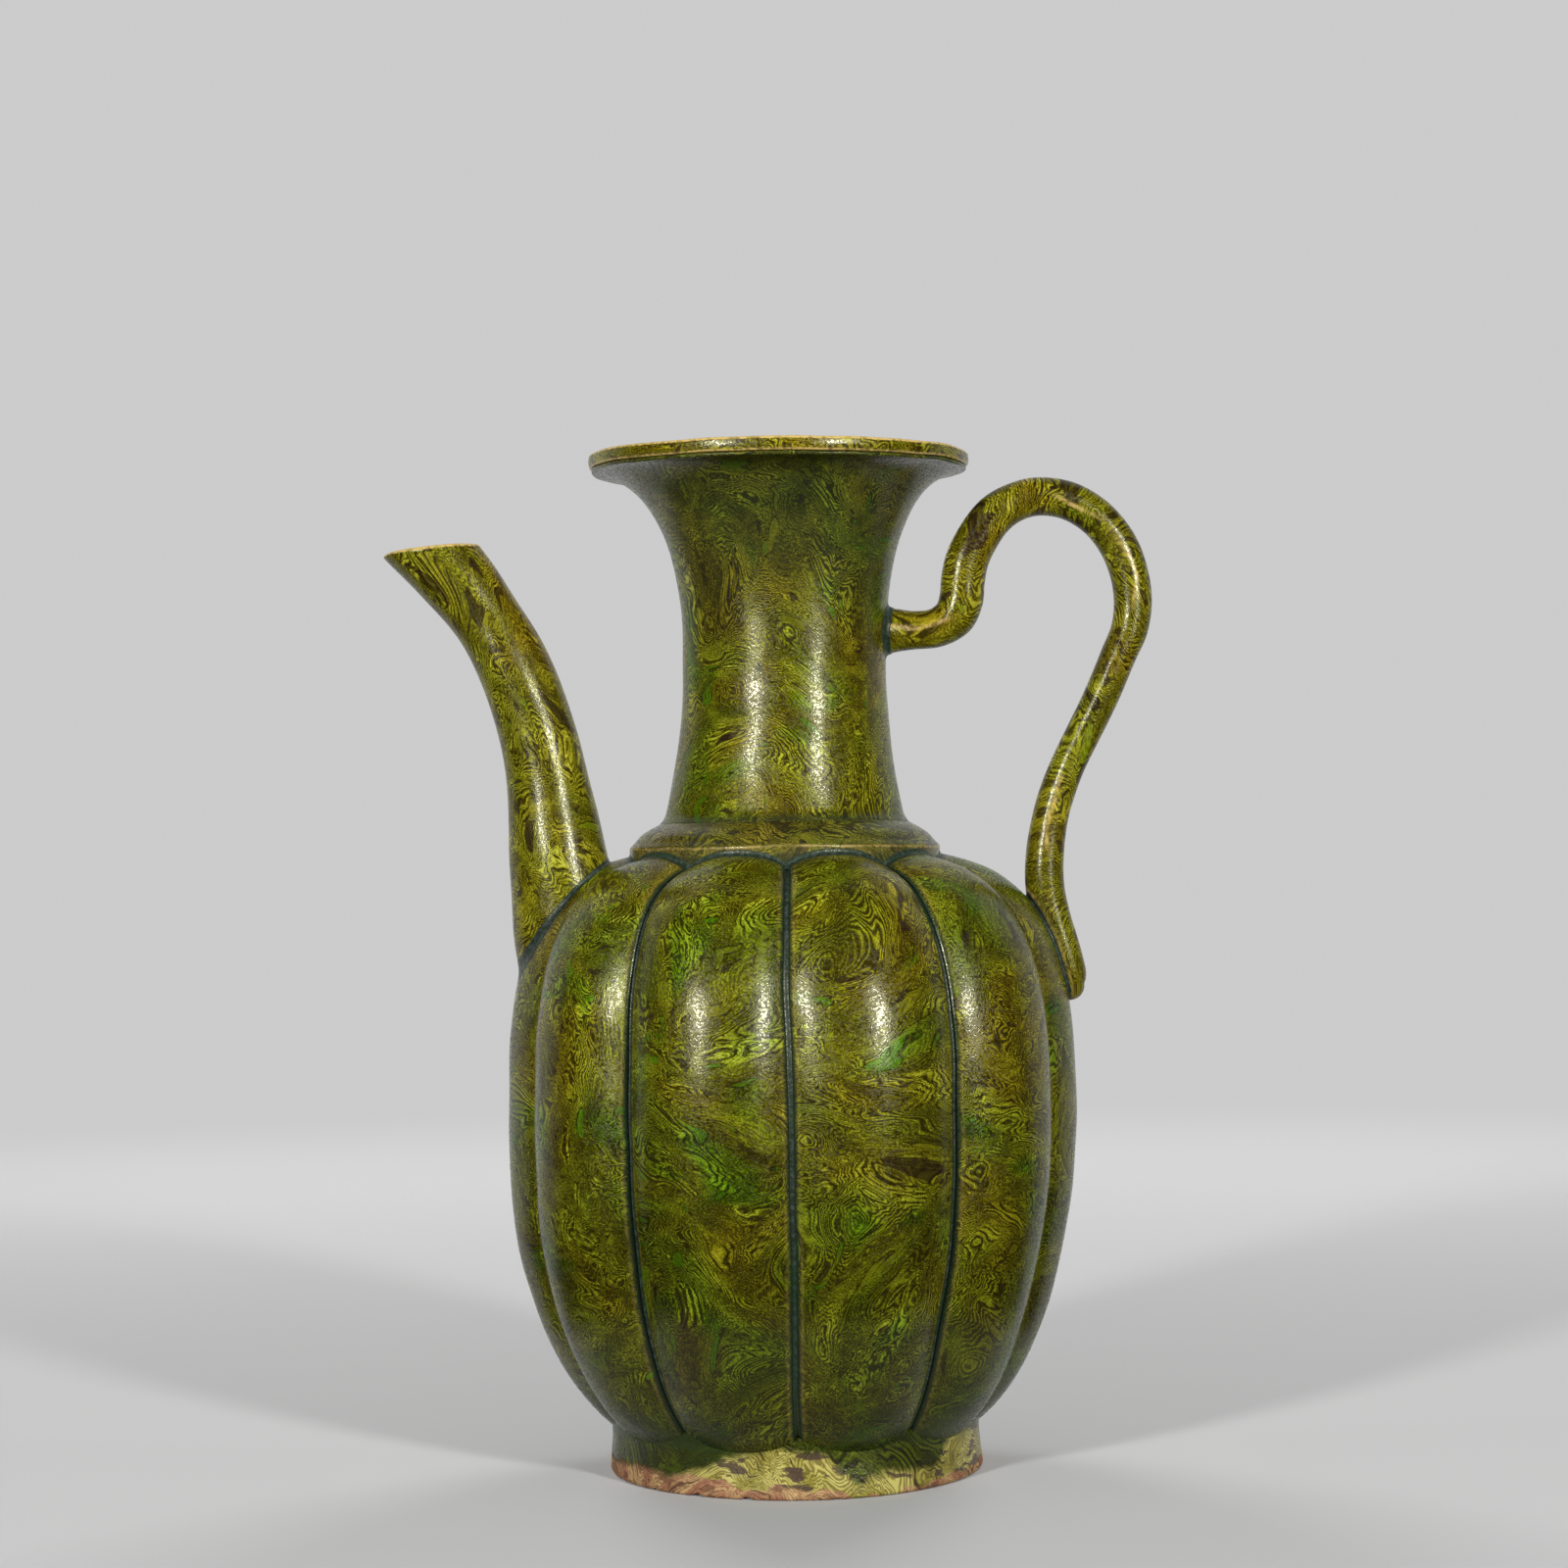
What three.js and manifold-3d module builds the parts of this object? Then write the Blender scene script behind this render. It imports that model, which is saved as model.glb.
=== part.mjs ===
import * as THREE from "three";
import { mergeVertices } from "three/addons/utils/BufferGeometryUtils.js";
import Module from "manifold-3d";

const wasm = await Module();
wasm.setup();

// A ten-lobed melon ewer of marbled clay. Lengths are in millimetres and +Z is up.
// Pieces are placed about the body's own axis, with the spout towards -X and the handle towards +X.
// At the end the whole ewer slides along X, so that the origin is the bottom centre of its box.

// Whole ewer
const ewer_height = 240;
const joint_gap = 0.3;
const cut_overrun = 12;
const weld_distance = 0.0001;

// Body
const lobe_count = 10;
const body_radius = 67.5;
const belly_height = 84;
const shoulder_rise = 62.5;
const body_bottom_height = 0.3;
const body_wall = 4.5;
const shoulder_hole_radius = 29;
const groove_depth = 5.4;
const shoulder_height_power = 2.7;
const shoulder_radius_power = 4.67;
const base_height_power = 2;
const base_radius_power = 3.37;
const lobe_power = 2.1;
const groove_fade_power = 3;
const shoulder_groove_fade_share = 0.58;
const base_groove_fade_share = 0.9;

// Slip seams in the grooves
const seam_width = 2.2;
const seam_depth = 3.6;
const seam_recess = 0.3;

// Foot and floor
const foot_height = 10.2;
const foot_flare = 0.6;
const foot_ring_width = 7.4;
const foot_bevel = 0.8;
const floor_thickness = 5.4;

// Collar
const collar_radius = 36.9;
const collar_height = 7.4;
const collar_outline_shares = [[1, 0.2], [0.86, 0.38], [0.67, 0.64], [0.3, 0.86], [0.05, 1]];

// Neck and lip
const neck_foot_radius = 28.7;
const neck_radius = 24;
const neck_wall = 3.6;
const waist_share = 0.427;
const flare_power = 2.5;
const lip_radius = 45.2;
const lip_height = 3.1;
const lip_overhang = 0.6;
const lip_bevel = 0.5;
const rim_edge = 0.6;
const lip_wall = 3.2;

// Spout: its root lies below the shoulder's top and fills the room between the collar and the body's
// edge, but for a gap at each. Its middle line runs from there to a point past the slanting mouth.
// Each row holds the shares of its reach, of its rise and of its radius at the root.
const spout_root_drop = 33.1;
const spout_collar_gap = 0.6;
const spout_edge_gap = 2.3;
const spout_end_height = 223.5;
const spout_end_reach = 88.5;
const spout_wall = 2.1;
const spout_mouth_drop = 4.85;
const spout_mouth_inset = 5.1;
const spout_mouth_tilt = THREE.MathUtils.degToRad(6.75);
const pour_hole_ledge = 3.9;
const spout_shares = [
  [0, 0, 1], [0.058, 0.126, 0.98], [0.082, 0.251, 0.935], [0.124, 0.377, 0.835], [0.179, 0.502, 0.742],
  [0.284, 0.628, 0.704], [0.382, 0.712, 0.681], [0.518, 0.796, 0.642], [0.729, 0.897, 0.68], [1, 1, 0.69],
];

// Handle: a round rod that leaves the neck, loops over and comes down to a tongue on the body.
// Its root and its top are placed by shares of the neck's height. The loop's rows hold the shares of
// its reach from the neck, of its rise from root to top, and of the rod's radius. The limb's rows
// hold the shares of its reach from the body, of its drop from the root's height to its seat, and of
// the rod's radius. The tongue's rows hold the shares of the tongue's lift off the body, of its
// length and of the rod's radius.
const handle_radius = 4.6;
const handle_reach = 83.35;
const handle_root_share = 0.518;
const handle_root_inset = 2;
const handle_root_radius = 6.2;
const handle_top_share = 0.877;
const handle_seat_drop = 9.1;
const handle_seat_lift = 6.3;
const tongue_length = 24;
const tongue_lift = 1.2;
const handle_loop_shares = [
  [0.04, 0, 1.13], [0.118, 0, 1], [0.21, 0.02, 1.02], [0.28, 0.1, 1.06], [0.313, 0.228, 1.09],
  [0.322, 0.372, 1.1], [0.34, 0.523, 1.09], [0.381, 0.677, 1.06], [0.452, 0.855, 1.02],
  [0.539, 0.96, 1], [0.637, 1, 1], [0.75, 0.963, 1], [0.851, 0.849, 1], [0.93, 0.671, 1],
  [0.981, 0.446, 1], [1, 0.215, 1],
];
const handle_limb_shares = [
  [0.96, 0.01, 0.98], [0.85, 0.106, 0.96], [0.669, 0.256, 0.93], [0.448, 0.408, 0.92],
  [0.242, 0.558, 0.92], [0.093, 0.71, 0.95], [0.019, 0.86, 1], [0, 1, 1.02],
];
const tongue_shares = [
  [1.7, 0.31, 1], [0.9, 0.54, 0.97], [0.7, 0.73, 0.94], [0.6, 0.88, 0.86], [0.4, 0.97, 0.6], [0.3, 1, 0.3],
];

// Slip bead along a joint
const bead_size = 1.2;

// Counts of steps and sides
const crest_steps = 16;
const lobe_steps = 6;
const turned_sides = 36;
const neck_steps = 10;
const lip_steps = 4;
const spout_steps = 16;
const spout_sides = 14;
const handle_steps = 56;
const handle_sides = 10;

// Places that follow from the sizes above
const half_lobe_angle = Math.PI / lobe_count;
const base_fall = belly_height - body_bottom_height;
const shoulder_height = crestHeight(collar_radius);
const collar_top = shoulder_height + collar_height;
const neck_foot_height = collar_top + joint_gap;
const lip_foot_height = ewer_height - lip_height;
const neck_top = lip_foot_height - joint_gap;
const body_foot_height = foot_height + joint_gap;
const foot_top_radius = crestRadius(body_foot_height);
const foot_base_radius = foot_top_radius + foot_flare;
const mouth_radius = lip_radius - lip_wall;
const waist_height = neckHeight(waist_share);
const handle_root_height = neckHeight(handle_root_share);
const handle_top_height = neckHeight(handle_top_share);
const handle_seat_height = shoulder_height - handle_seat_drop;
const spout_root_height = shoulder_height - spout_root_drop;
const spout_room = crestRadius(spout_root_height) - collar_radius - spout_collar_gap - spout_edge_gap;
const spout_root_radius = spout_room / 2;
const spout_root_reach = collar_radius + spout_collar_gap + spout_root_radius;
const pour_hole_radius = spout_root_radius - spout_wall - pour_hole_ledge;
const spout_mouth_height = spout_end_height - spout_mouth_drop;
const spout_mouth_reach = spout_end_reach - spout_mouth_inset;

const marbled_olive = new THREE.MeshStandardMaterial({ color: 0x66690f, roughness: 0.25, metalness: 0 });
const marbled_ochre = new THREE.MeshStandardMaterial({ color: 0x7f7418, roughness: 0.22, metalness: 0 });
const dark_slip = new THREE.MeshStandardMaterial({ color: 0x2f4345, roughness: 0.3, metalness: 0 });
const bare_clay = new THREE.MeshStandardMaterial({ color: 0xb08a5c, roughness: 0.8, metalness: 0 });

const ewer = new THREE.Group();

// Solids and meshes

function welded(geometry) {
  const bare = geometry.clone();
  bare.deleteAttribute("normal");
  bare.deleteAttribute("uv");
  const merged = mergeVertices(bare, weld_distance);
  const corners = Array.from(merged.index.array);
  const kept = [];
  for (let i = 0; i < corners.length; i += 3) {
    const triangle = corners.slice(i, i + 3);
    if (new Set(triangle).size === 3) kept.push(...triangle);
  }
  merged.setIndex(kept);
  return merged;
}

function solidOf(geometry) {
  const merged = welded(geometry);
  const vertProperties = new Float32Array(merged.attributes.position.array);
  const triVerts = new Uint32Array(merged.index.array);
  return new wasm.Manifold(new wasm.Mesh({ numProp: 3, vertProperties, triVerts }));
}

function geometryOf(solid) {
  const mesh = solid.getMesh();
  const geometry = new THREE.BufferGeometry();
  geometry.setAttribute("position", new THREE.BufferAttribute(mesh.vertProperties, 3));
  geometry.setIndex(new THREE.BufferAttribute(mesh.triVerts, 1));
  geometry.computeVertexNormals();
  return geometry;
}

function addPiece(name, geometry, material, turn = 0) {
  const mesh = new THREE.Mesh(geometry, material.clone());
  mesh.name = name;
  mesh.rotation.z = turn;
  ewer.add(mesh);
}

function meshOf(points, triangles) {
  const geometry = new THREE.BufferGeometry();
  geometry.setFromPoints(points);
  geometry.setIndex(triangles);
  geometry.computeVertexNormals();
  return geometry;
}

// Joins closed rings of points, each turning left about the way on, and closes both ends with a fan.
function ringSolid(rings) {
  const sides = rings[0].length;
  const points = rings.flat();
  const triangles = [];
  for (let i = 0; i + 1 < rings.length; i++) {
    for (let j = 0; j < sides; j++) {
      const a = i * sides + j;
      const b = i * sides + ((j + 1) % sides);
      triangles.push(a, b, b + sides, a, b + sides, a + sides);
    }
  }
  const last = (rings.length - 1) * sides;
  const start = points.push(middleOf(rings[0])) - 1;
  const end = points.push(middleOf(rings[rings.length - 1])) - 1;
  for (let j = 0; j < sides; j++) {
    const next = (j + 1) % sides;
    triangles.push(start, next, j, end, last + j, last + next);
  }
  return meshOf(points, triangles);
}

function middleOf(ring) {
  const sum = new THREE.Vector3();
  for (const point of ring) sum.add(point);
  return sum.divideScalar(ring.length);
}

// The slab between two grids of points that have the same rows and columns.
function slab(outer, inner) {
  const rows = outer.length;
  const columns = outer[0].length;
  const points = [...outer.flat(), ...inner.flat()];
  const deep = rows * columns;
  const triangles = [];
  const quad = (a, b, c, d) => triangles.push(a, b, c, a, c, d);
  for (let i = 0; i + 1 < rows; i++) {
    const left = i * columns;
    const right = left + columns - 1;
    for (let j = left; j < right; j++) {
      quad(j, j + 1, j + 1 + columns, j + columns);
      quad(j + deep, j + deep + columns, j + 1 + deep + columns, j + 1 + deep);
    }
    quad(left, left + columns, left + columns + deep, left + deep);
    quad(right, right + deep, right + columns + deep, right + columns);
  }
  for (let j = 0; j + 1 < columns; j++) {
    const top = deep - columns + j;
    quad(j + deep, j + 1 + deep, j + 1, j);
    quad(top, top + 1, top + 1 + deep, top + deep);
  }
  return meshOf(points, triangles);
}

// A turned piece: its outline is a list of radius and height that runs up on the outside.
function turned(outline) {
  const points = outline.map(([radius, height]) => new THREE.Vector2(radius, height));
  return new THREE.LatheGeometry(points, turned_sides).rotateX(Math.PI / 2);
}

function turnedRing(outline) {
  return turned([...outline, outline[0]]);
}

// A round limb in the XZ plane. A guide point's X and Z are the middle of the limb there, and its Y
// holds the radius. Both ends run on by the same growth that the radius takes.
function limb(guide, steps, sides, growth) {
  const stations = new THREE.CatmullRomCurve3(guide, false, "centripetal").getSpacedPoints(steps);
  const rings = stations.map((station, i) => {
    const before = stations[Math.max(0, i - 1)];
    const after = stations[Math.min(steps, i + 1)];
    const way = new THREE.Vector3(after.x - before.x, 0, after.z - before.z).normalize();
    const side = new THREE.Vector3(0, 1, 0);
    const up = way.clone().cross(side);
    const middle = new THREE.Vector3(station.x, 0, station.z);
    if (i === 0) middle.addScaledVector(way, -growth);
    if (i === steps) middle.addScaledVector(way, growth);
    const radius = station.y + growth;
    return Array.from({ length: sides }, (_, j) => {
      const angle = (2 * Math.PI * j) / sides;
      const point = middle.clone().addScaledVector(side, radius * Math.cos(angle));
      return point.addScaledVector(up, radius * Math.sin(angle));
    });
  });
  return ringSolid(rings);
}

// The bead of slip that fills the corner between a limb and what carries it, clear of both.
function bead(growLimb, growCarrier) {
  const reach = joint_gap + bead_size;
  const corner = growLimb(reach).intersect(growCarrier(reach));
  return geometryOf(corner.subtract(growLimb(joint_gap)).subtract(growCarrier(joint_gap)));
}

// Body outline through the middle of a lobe: two superelliptic arcs that meet at the belly. On each,
// the share of the span from the belly and the share of the body's radius, both raised to their
// powers, add up to one.

function arcAt(height) {
  if (height < belly_height) {
    return {
      span: base_fall,
      height_power: base_height_power,
      radius_power: base_radius_power,
      fade_share: base_groove_fade_share,
    };
  }
  return {
    span: shoulder_rise,
    height_power: shoulder_height_power,
    radius_power: shoulder_radius_power,
    fade_share: shoulder_groove_fade_share,
  };
}

function crestRadius(height) {
  const arc = arcAt(height);
  const away = Math.abs(height - belly_height) / arc.span;
  return body_radius * (1 - away ** arc.height_power) ** (1 / arc.radius_power);
}

function crestHeight(radius) {
  const across = (radius / body_radius) ** shoulder_radius_power;
  return belly_height + shoulder_rise * (1 - across) ** (1 / shoulder_height_power);
}

class Crest extends THREE.Curve {
  getPoint(share) {
    const low = Math.asin(((belly_height - foot_height / 2) / base_fall) ** (base_height_power / 2));
    const high = Math.acos(((shoulder_hole_radius - joint_gap) / body_radius) ** (shoulder_radius_power / 2));
    const angle = THREE.MathUtils.lerp(-low, high, share);
    const arc = arcAt(belly_height + angle);
    const rise = arc.span * Math.abs(Math.sin(angle)) ** (2 / arc.height_power);
    const radius = body_radius * Math.cos(angle) ** (2 / arc.radius_power);
    return new THREE.Vector2(radius, belly_height + Math.sign(angle) * rise);
  }
}

const crest = new Crest().getSpacedPoints(crest_steps);

function crestNormal(point) {
  const arc = arcAt(point.y);
  const rise = (point.y - belly_height) / arc.span;
  const along = (Math.sign(rise) * arc.height_power * Math.abs(rise) ** (arc.height_power - 1)) / arc.span;
  const across = (arc.radius_power * (point.x / body_radius) ** (arc.radius_power - 1)) / body_radius;
  return new THREE.Vector2(across, along).normalize();
}

function grooveDepth(point) {
  const arc = arcAt(point.y);
  const away = Math.abs(point.y - belly_height) / arc.span;
  return groove_depth * (1 - arc.fade_share * away ** groove_fade_power);
}

// A point of a lobe, beside the crest point by a share from -1 to 1 of the lobe's half width.
// The lobe's edges keep a straight joint for the seam. Inset goes in along the crest's normal.
function lobePoint(point, side_share, inset, turn) {
  const normal = crestNormal(point);
  const depth = grooveDepth(point);
  const edge_radius = point.x - normal.x * (depth + inset);
  const edge_angle = half_lobe_angle - Math.asin((seam_width / 2 + joint_gap) / edge_radius);
  const sunk = depth * Math.abs(side_share) ** lobe_power + inset;
  const radius = point.x - normal.x * sunk;
  const angle = turn + side_share * edge_angle;
  return new THREE.Vector3(radius * Math.cos(angle), radius * Math.sin(angle), point.y - normal.y * sunk);
}

function lobeRow(point, inset, turn) {
  return Array.from({ length: lobe_steps + 1 }, (_, j) =>
    lobePoint(point, (2 * j) / lobe_steps - 1, inset, turn));
}

// The whole body as one filled solid, grown outwards, which cuts what stands on it.
function bodyBlank(growth) {
  const rings = crest.map((point) => {
    const ring = [];
    for (let k = 0; k < lobe_count; k++) ring.push(...lobeRow(point, -growth, 2 * k * half_lobe_angle));
    return ring;
  });
  return solidOf(ringSolid(rings)).subtract(footBlock(body_foot_height - growth));
}

function footBlock(top) {
  const wide = body_radius + cut_overrun;
  const block = turned([[0, -cut_overrun], [wide, -cut_overrun], [wide, top], [0, top]]);
  return solidOf(block);
}

function shoulderCore() {
  const low = belly_height;
  const high = ewer_height;
  const core = turned([[0, low], [shoulder_hole_radius, low], [shoulder_hole_radius, high], [0, high]]);
  return solidOf(core);
}

function lobeSolid() {
  const outer = crest.map((point) => lobeRow(point, 0, 0));
  const inner = crest.map((point) => lobeRow(point, body_wall, 0));
  return solidOf(slab(outer, inner)).subtract(footBlock(body_foot_height)).subtract(shoulderCore());
}

function seamSolid() {
  const gridAt = (inset) => crest.map((point) => {
    const normal = crestNormal(point);
    const sunk = grooveDepth(point) + seam_recess + inset;
    const height = point.y - normal.y * sunk;
    return [-1, 1].map((side) =>
      new THREE.Vector3(point.x - normal.x * sunk, (side * seam_width) / 2, height));
  });
  const strip = solidOf(slab(gridAt(0), gridAt(seam_depth)));
  return strip.subtract(footBlock(body_foot_height)).subtract(shoulderCore());
}

// A height on the neck, as a share of the way from its foot to the mouth.
function neckHeight(share) {
  return neck_foot_height + (ewer_height - neck_foot_height) * share;
}

// Neck: below the waist its radius grows with the square of the way down, and above the waist it
// follows a superelliptic flare.
function trumpetRadius(height, waist, foot, rim, rim_height) {
  if (height < waist_height) {
    const down = (waist_height - height) / (waist_height - neck_foot_height);
    return waist + (foot - waist) * down ** 2;
  }
  const up = Math.min(1, (height - waist_height) / (rim_height - waist_height));
  return waist + (rim - waist) * (1 - Math.sqrt(1 - up ** flare_power));
}

function neckRadius(height) {
  return trumpetRadius(height, neck_radius, neck_foot_radius, lip_radius - lip_overhang, neck_top - rim_edge);
}

function boreRadius(height) {
  const bore = neck_radius - neck_wall;
  return trumpetRadius(height, bore, neck_foot_radius - neck_wall, mouth_radius, ewer_height);
}

function trumpetOutline(radiusAt, low, high, steps) {
  class Outline extends THREE.Curve {
    getPoint(share) {
      const height = THREE.MathUtils.lerp(low, high, Math.sin((share * Math.PI) / 2));
      return new THREE.Vector2(radiusAt(height), height);
    }
  }
  return new Outline().getSpacedPoints(steps).map((point) => point.toArray());
}

function neckBlank(growth) {
  const outer = trumpetOutline(neckRadius, neck_foot_height, neck_top - rim_edge, neck_steps);
  const grown = outer.map(([radius, height]) => [radius + growth, height]);
  return solidOf(turned([[0, neck_foot_height], ...grown, [0, neck_top - rim_edge]]));
}

function neckSolid() {
  const outer = trumpetOutline(neckRadius, neck_foot_height, neck_top - rim_edge, neck_steps);
  const inner = trumpetOutline(boreRadius, neck_foot_height, neck_top, neck_steps).reverse();
  return turnedRing([...outer, [lip_radius - lip_overhang, neck_top], ...inner]);
}

function lipSolid() {
  const inner = trumpetOutline(boreRadius, lip_foot_height, ewer_height, lip_steps).reverse();
  return turnedRing([
    [lip_radius - lip_bevel, lip_foot_height],
    [lip_radius, lip_foot_height + lip_bevel],
    [lip_radius, ewer_height - lip_bevel],
    [lip_radius - lip_bevel, ewer_height],
    ...inner,
  ]);
}

// Collar
const collar_skirt_height = shoulder_height - groove_depth;
const collar_outline = collar_outline_shares.map(([out_share, up_share]) => [
  neck_foot_radius + (collar_radius - neck_foot_radius) * out_share,
  shoulder_height + collar_height * up_share,
]);

function collarBlank(growth) {
  const outline = collar_outline.map(([radius, height]) => [radius + growth, height]);
  const skirt = [collar_radius + growth, collar_skirt_height];
  return solidOf(turned([[0, collar_skirt_height], skirt, ...outline, [0, collar_top]]));
}

function collarSolid() {
  const ring = turnedRing([
    [shoulder_hole_radius - joint_gap, collar_skirt_height],
    [collar_radius, collar_skirt_height],
    ...collar_outline,
    [neck_foot_radius - neck_wall, collar_top],
  ]);
  return solidOf(ring).subtract(bodyBlank(joint_gap));
}

// Foot: the ring's outer wall runs up into the grooves between the lobes.
function footSolid() {
  const inner_radius = foot_top_radius - foot_ring_width;
  const tall = foot_height + groove_depth;
  const ring = turnedRing([
    [inner_radius + foot_bevel, 0],
    [foot_base_radius - foot_bevel, 0],
    [foot_base_radius, foot_bevel],
    [foot_top_radius, foot_height],
    [foot_top_radius, tall],
    [inner_radius, tall],
    [inner_radius, foot_bevel],
  ]);
  return solidOf(ring).subtract(bodyBlank(joint_gap));
}

function floorSolid() {
  const radius = foot_top_radius - foot_ring_width - joint_gap;
  const low = foot_height - floor_thickness;
  return turned([[0, low], [radius, low], [radius, foot_height], [0, foot_height]]);
}

// Spout
function spoutGuide(radiusAt) {
  return spout_shares.map(([reach_share, rise_share, radius_share]) => new THREE.Vector3(
    -THREE.MathUtils.lerp(spout_root_reach, spout_end_reach, reach_share),
    radiusAt(radius_share),
    THREE.MathUtils.lerp(spout_root_height, spout_end_height, rise_share),
  ));
}

function spoutBlank(growth) {
  const guide = spoutGuide((radius_share) => spout_root_radius * radius_share);
  return solidOf(limb(guide, spout_steps, spout_sides, growth)).subtract(mouthBlock());
}

function mouthBlock() {
  const size = spout_end_reach;
  const block = new THREE.BoxGeometry(size, size, size).translate(0, 0, size / 2);
  block.rotateY(-spout_mouth_tilt).translate(-spout_mouth_reach, 0, spout_mouth_height);
  return solidOf(block);
}

function spoutSolid() {
  const guide = spoutGuide((radius_share) => spout_root_radius * radius_share - spout_wall);
  const bore = solidOf(limb(guide, spout_steps, spout_sides, 0));
  return spoutBlank(0).subtract(bodyBlank(joint_gap)).subtract(bore);
}

// The lobe at the spout is bored through along the spout's own line.
function spoutLobeSolid() {
  const guide = spoutGuide(() => pour_hole_radius);
  const hole = limb(guide, spout_steps, spout_sides, 0).rotateZ(Math.PI);
  return lobeSolid().subtract(solidOf(hole));
}

// Handle
function handleGuide() {
  const root_reach = neckRadius(handle_root_height) - handle_root_inset;
  const seat_reach = crestRadius(handle_seat_height) + handle_seat_lift;
  const point = (reach, radius_share, height) =>
    new THREE.Vector3(reach, handle_radius * radius_share, height);
  const loop = handle_loop_shares.map(([reach_share, rise_share, radius_share]) => point(
    THREE.MathUtils.lerp(neckRadius(handle_root_height), handle_reach, reach_share),
    radius_share,
    THREE.MathUtils.lerp(handle_root_height, handle_top_height, rise_share),
  ));
  const descent = handle_limb_shares.map(([reach_share, drop_share, radius_share]) => point(
    THREE.MathUtils.lerp(seat_reach, handle_reach, reach_share),
    radius_share,
    THREE.MathUtils.lerp(handle_root_height, handle_seat_height, drop_share),
  ));
  const tongue = tongue_shares.map(([lift_share, length_share, radius_share]) => {
    const height = handle_seat_height - tongue_length * length_share;
    return point(crestRadius(height) + tongue_lift * lift_share, radius_share, height);
  });
  const root = new THREE.Vector3(root_reach, handle_root_radius, handle_root_height);
  return [root, ...loop, ...descent, ...tongue];
}

function handleBlank(growth) {
  return solidOf(limb(handleGuide(), handle_steps, handle_sides, growth));
}

function handleSolid() {
  return handleBlank(0).subtract(neckBlank(joint_gap)).subtract(bodyBlank(joint_gap));
}

// Assembly
addPiece("foot_ring", geometryOf(footSolid()), bare_clay);
addPiece("body_floor", floorSolid(), bare_clay);

const lobe_geometry = geometryOf(lobeSolid());
const spout_lobe_geometry = geometryOf(spoutLobeSolid());
const seam_geometry = geometryOf(seamSolid());
for (let k = 0; k < lobe_count; k++) {
  const number = String(k + 1).padStart(2, "0");
  const turn = 2 * k * half_lobe_angle;
  const at_spout = 2 * k === lobe_count;
  addPiece(`lobe_${number}`, at_spout ? spout_lobe_geometry : lobe_geometry, marbled_olive, turn);
  addPiece(`seam_${number}`, seam_geometry, dark_slip, turn + half_lobe_angle);
}

addPiece("collar", geometryOf(collarSolid()), marbled_ochre);
addPiece("neck", neckSolid(), marbled_olive);
addPiece("mouth_rim", lipSolid(), marbled_ochre);
addPiece("spout", geometryOf(spoutSolid()), marbled_ochre);
addPiece("handle", geometryOf(handleSolid()), marbled_ochre);
addPiece("collar_bead", bead(collarBlank, bodyBlank), dark_slip);
addPiece("spout_bead", bead(spoutBlank, bodyBlank), dark_slip);
addPiece("handle_upper_bead", bead(handleBlank, neckBlank), dark_slip);
addPiece("handle_lower_bead", bead(handleBlank, bodyBlank), dark_slip);

const box = new THREE.Box3().setFromObject(ewer, true);
ewer.position.x = -box.getCenter(new THREE.Vector3()).x;

export default ewer;
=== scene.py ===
import math

import bpy
import numpy as np
from mathutils import Matrix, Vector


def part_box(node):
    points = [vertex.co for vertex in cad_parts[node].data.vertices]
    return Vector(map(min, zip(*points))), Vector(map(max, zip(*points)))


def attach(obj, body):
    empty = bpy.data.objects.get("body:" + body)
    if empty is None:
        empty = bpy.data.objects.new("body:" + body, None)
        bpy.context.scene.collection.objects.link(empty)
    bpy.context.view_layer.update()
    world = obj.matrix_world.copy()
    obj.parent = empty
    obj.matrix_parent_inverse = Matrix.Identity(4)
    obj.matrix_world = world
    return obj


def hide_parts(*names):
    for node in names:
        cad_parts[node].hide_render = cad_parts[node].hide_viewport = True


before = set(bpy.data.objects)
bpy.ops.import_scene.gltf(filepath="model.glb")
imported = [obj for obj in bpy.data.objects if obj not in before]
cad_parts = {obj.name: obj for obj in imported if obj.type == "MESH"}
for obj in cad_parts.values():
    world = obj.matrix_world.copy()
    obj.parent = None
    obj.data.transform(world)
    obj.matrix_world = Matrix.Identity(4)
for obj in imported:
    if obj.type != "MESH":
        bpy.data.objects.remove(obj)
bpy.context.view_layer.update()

# A lobed ewer of marbled clay under a green glaze. Lengths are in metres and +Z is up.
# The spout points towards -X and the handle towards +X. Each piece is a surface worked out on a grid.

bl_info = {
    "name": "Marbled Lobed Ewer",
    "version": (1, 0, 0),
    "blender": (4, 5, 0),
    "location": "View3D > Sidebar > Ewer",
    "description": "Builds a ten-lobed ewer of marbled clay with its glaze, floor, lamps and camera",
    "category": "Add Mesh",
}

# What the frame gives
neck_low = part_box("neck")[0]
lobe_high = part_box("lobe_01")[1]
lip_low, lip_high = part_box("mouth_rim")
floor_low, floor_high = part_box("body_floor")
axis_x = (lip_low.x + lip_high.x) / 2

TURN = 2 * math.pi
MILLIMETRE = 0.001


# Sizes and colours

def length(name, description, default):
    """A property that holds a length in metres."""
    return bpy.props.FloatProperty(
        name=name, description=description, default=default, unit="LENGTH", precision=5)


def share(name, description, default):
    """A property that holds a plain number."""
    return bpy.props.FloatProperty(name=name, description=description, default=default)


def slant(name, description, degrees):
    """A property that holds an angle, which is given in degrees."""
    return bpy.props.FloatProperty(
        name=name, description=description, default=math.radians(degrees), subtype="ANGLE")


def power(name, description, default):
    """A property that holds a power in watts."""
    return bpy.props.FloatProperty(name=name, description=description, default=default, unit="POWER")


def colour(name, description, default):
    """A property that holds a colour."""
    return bpy.props.FloatVectorProperty(
        name=name, description=description, default=default, subtype="COLOR", size=3, min=0, max=1)


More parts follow.
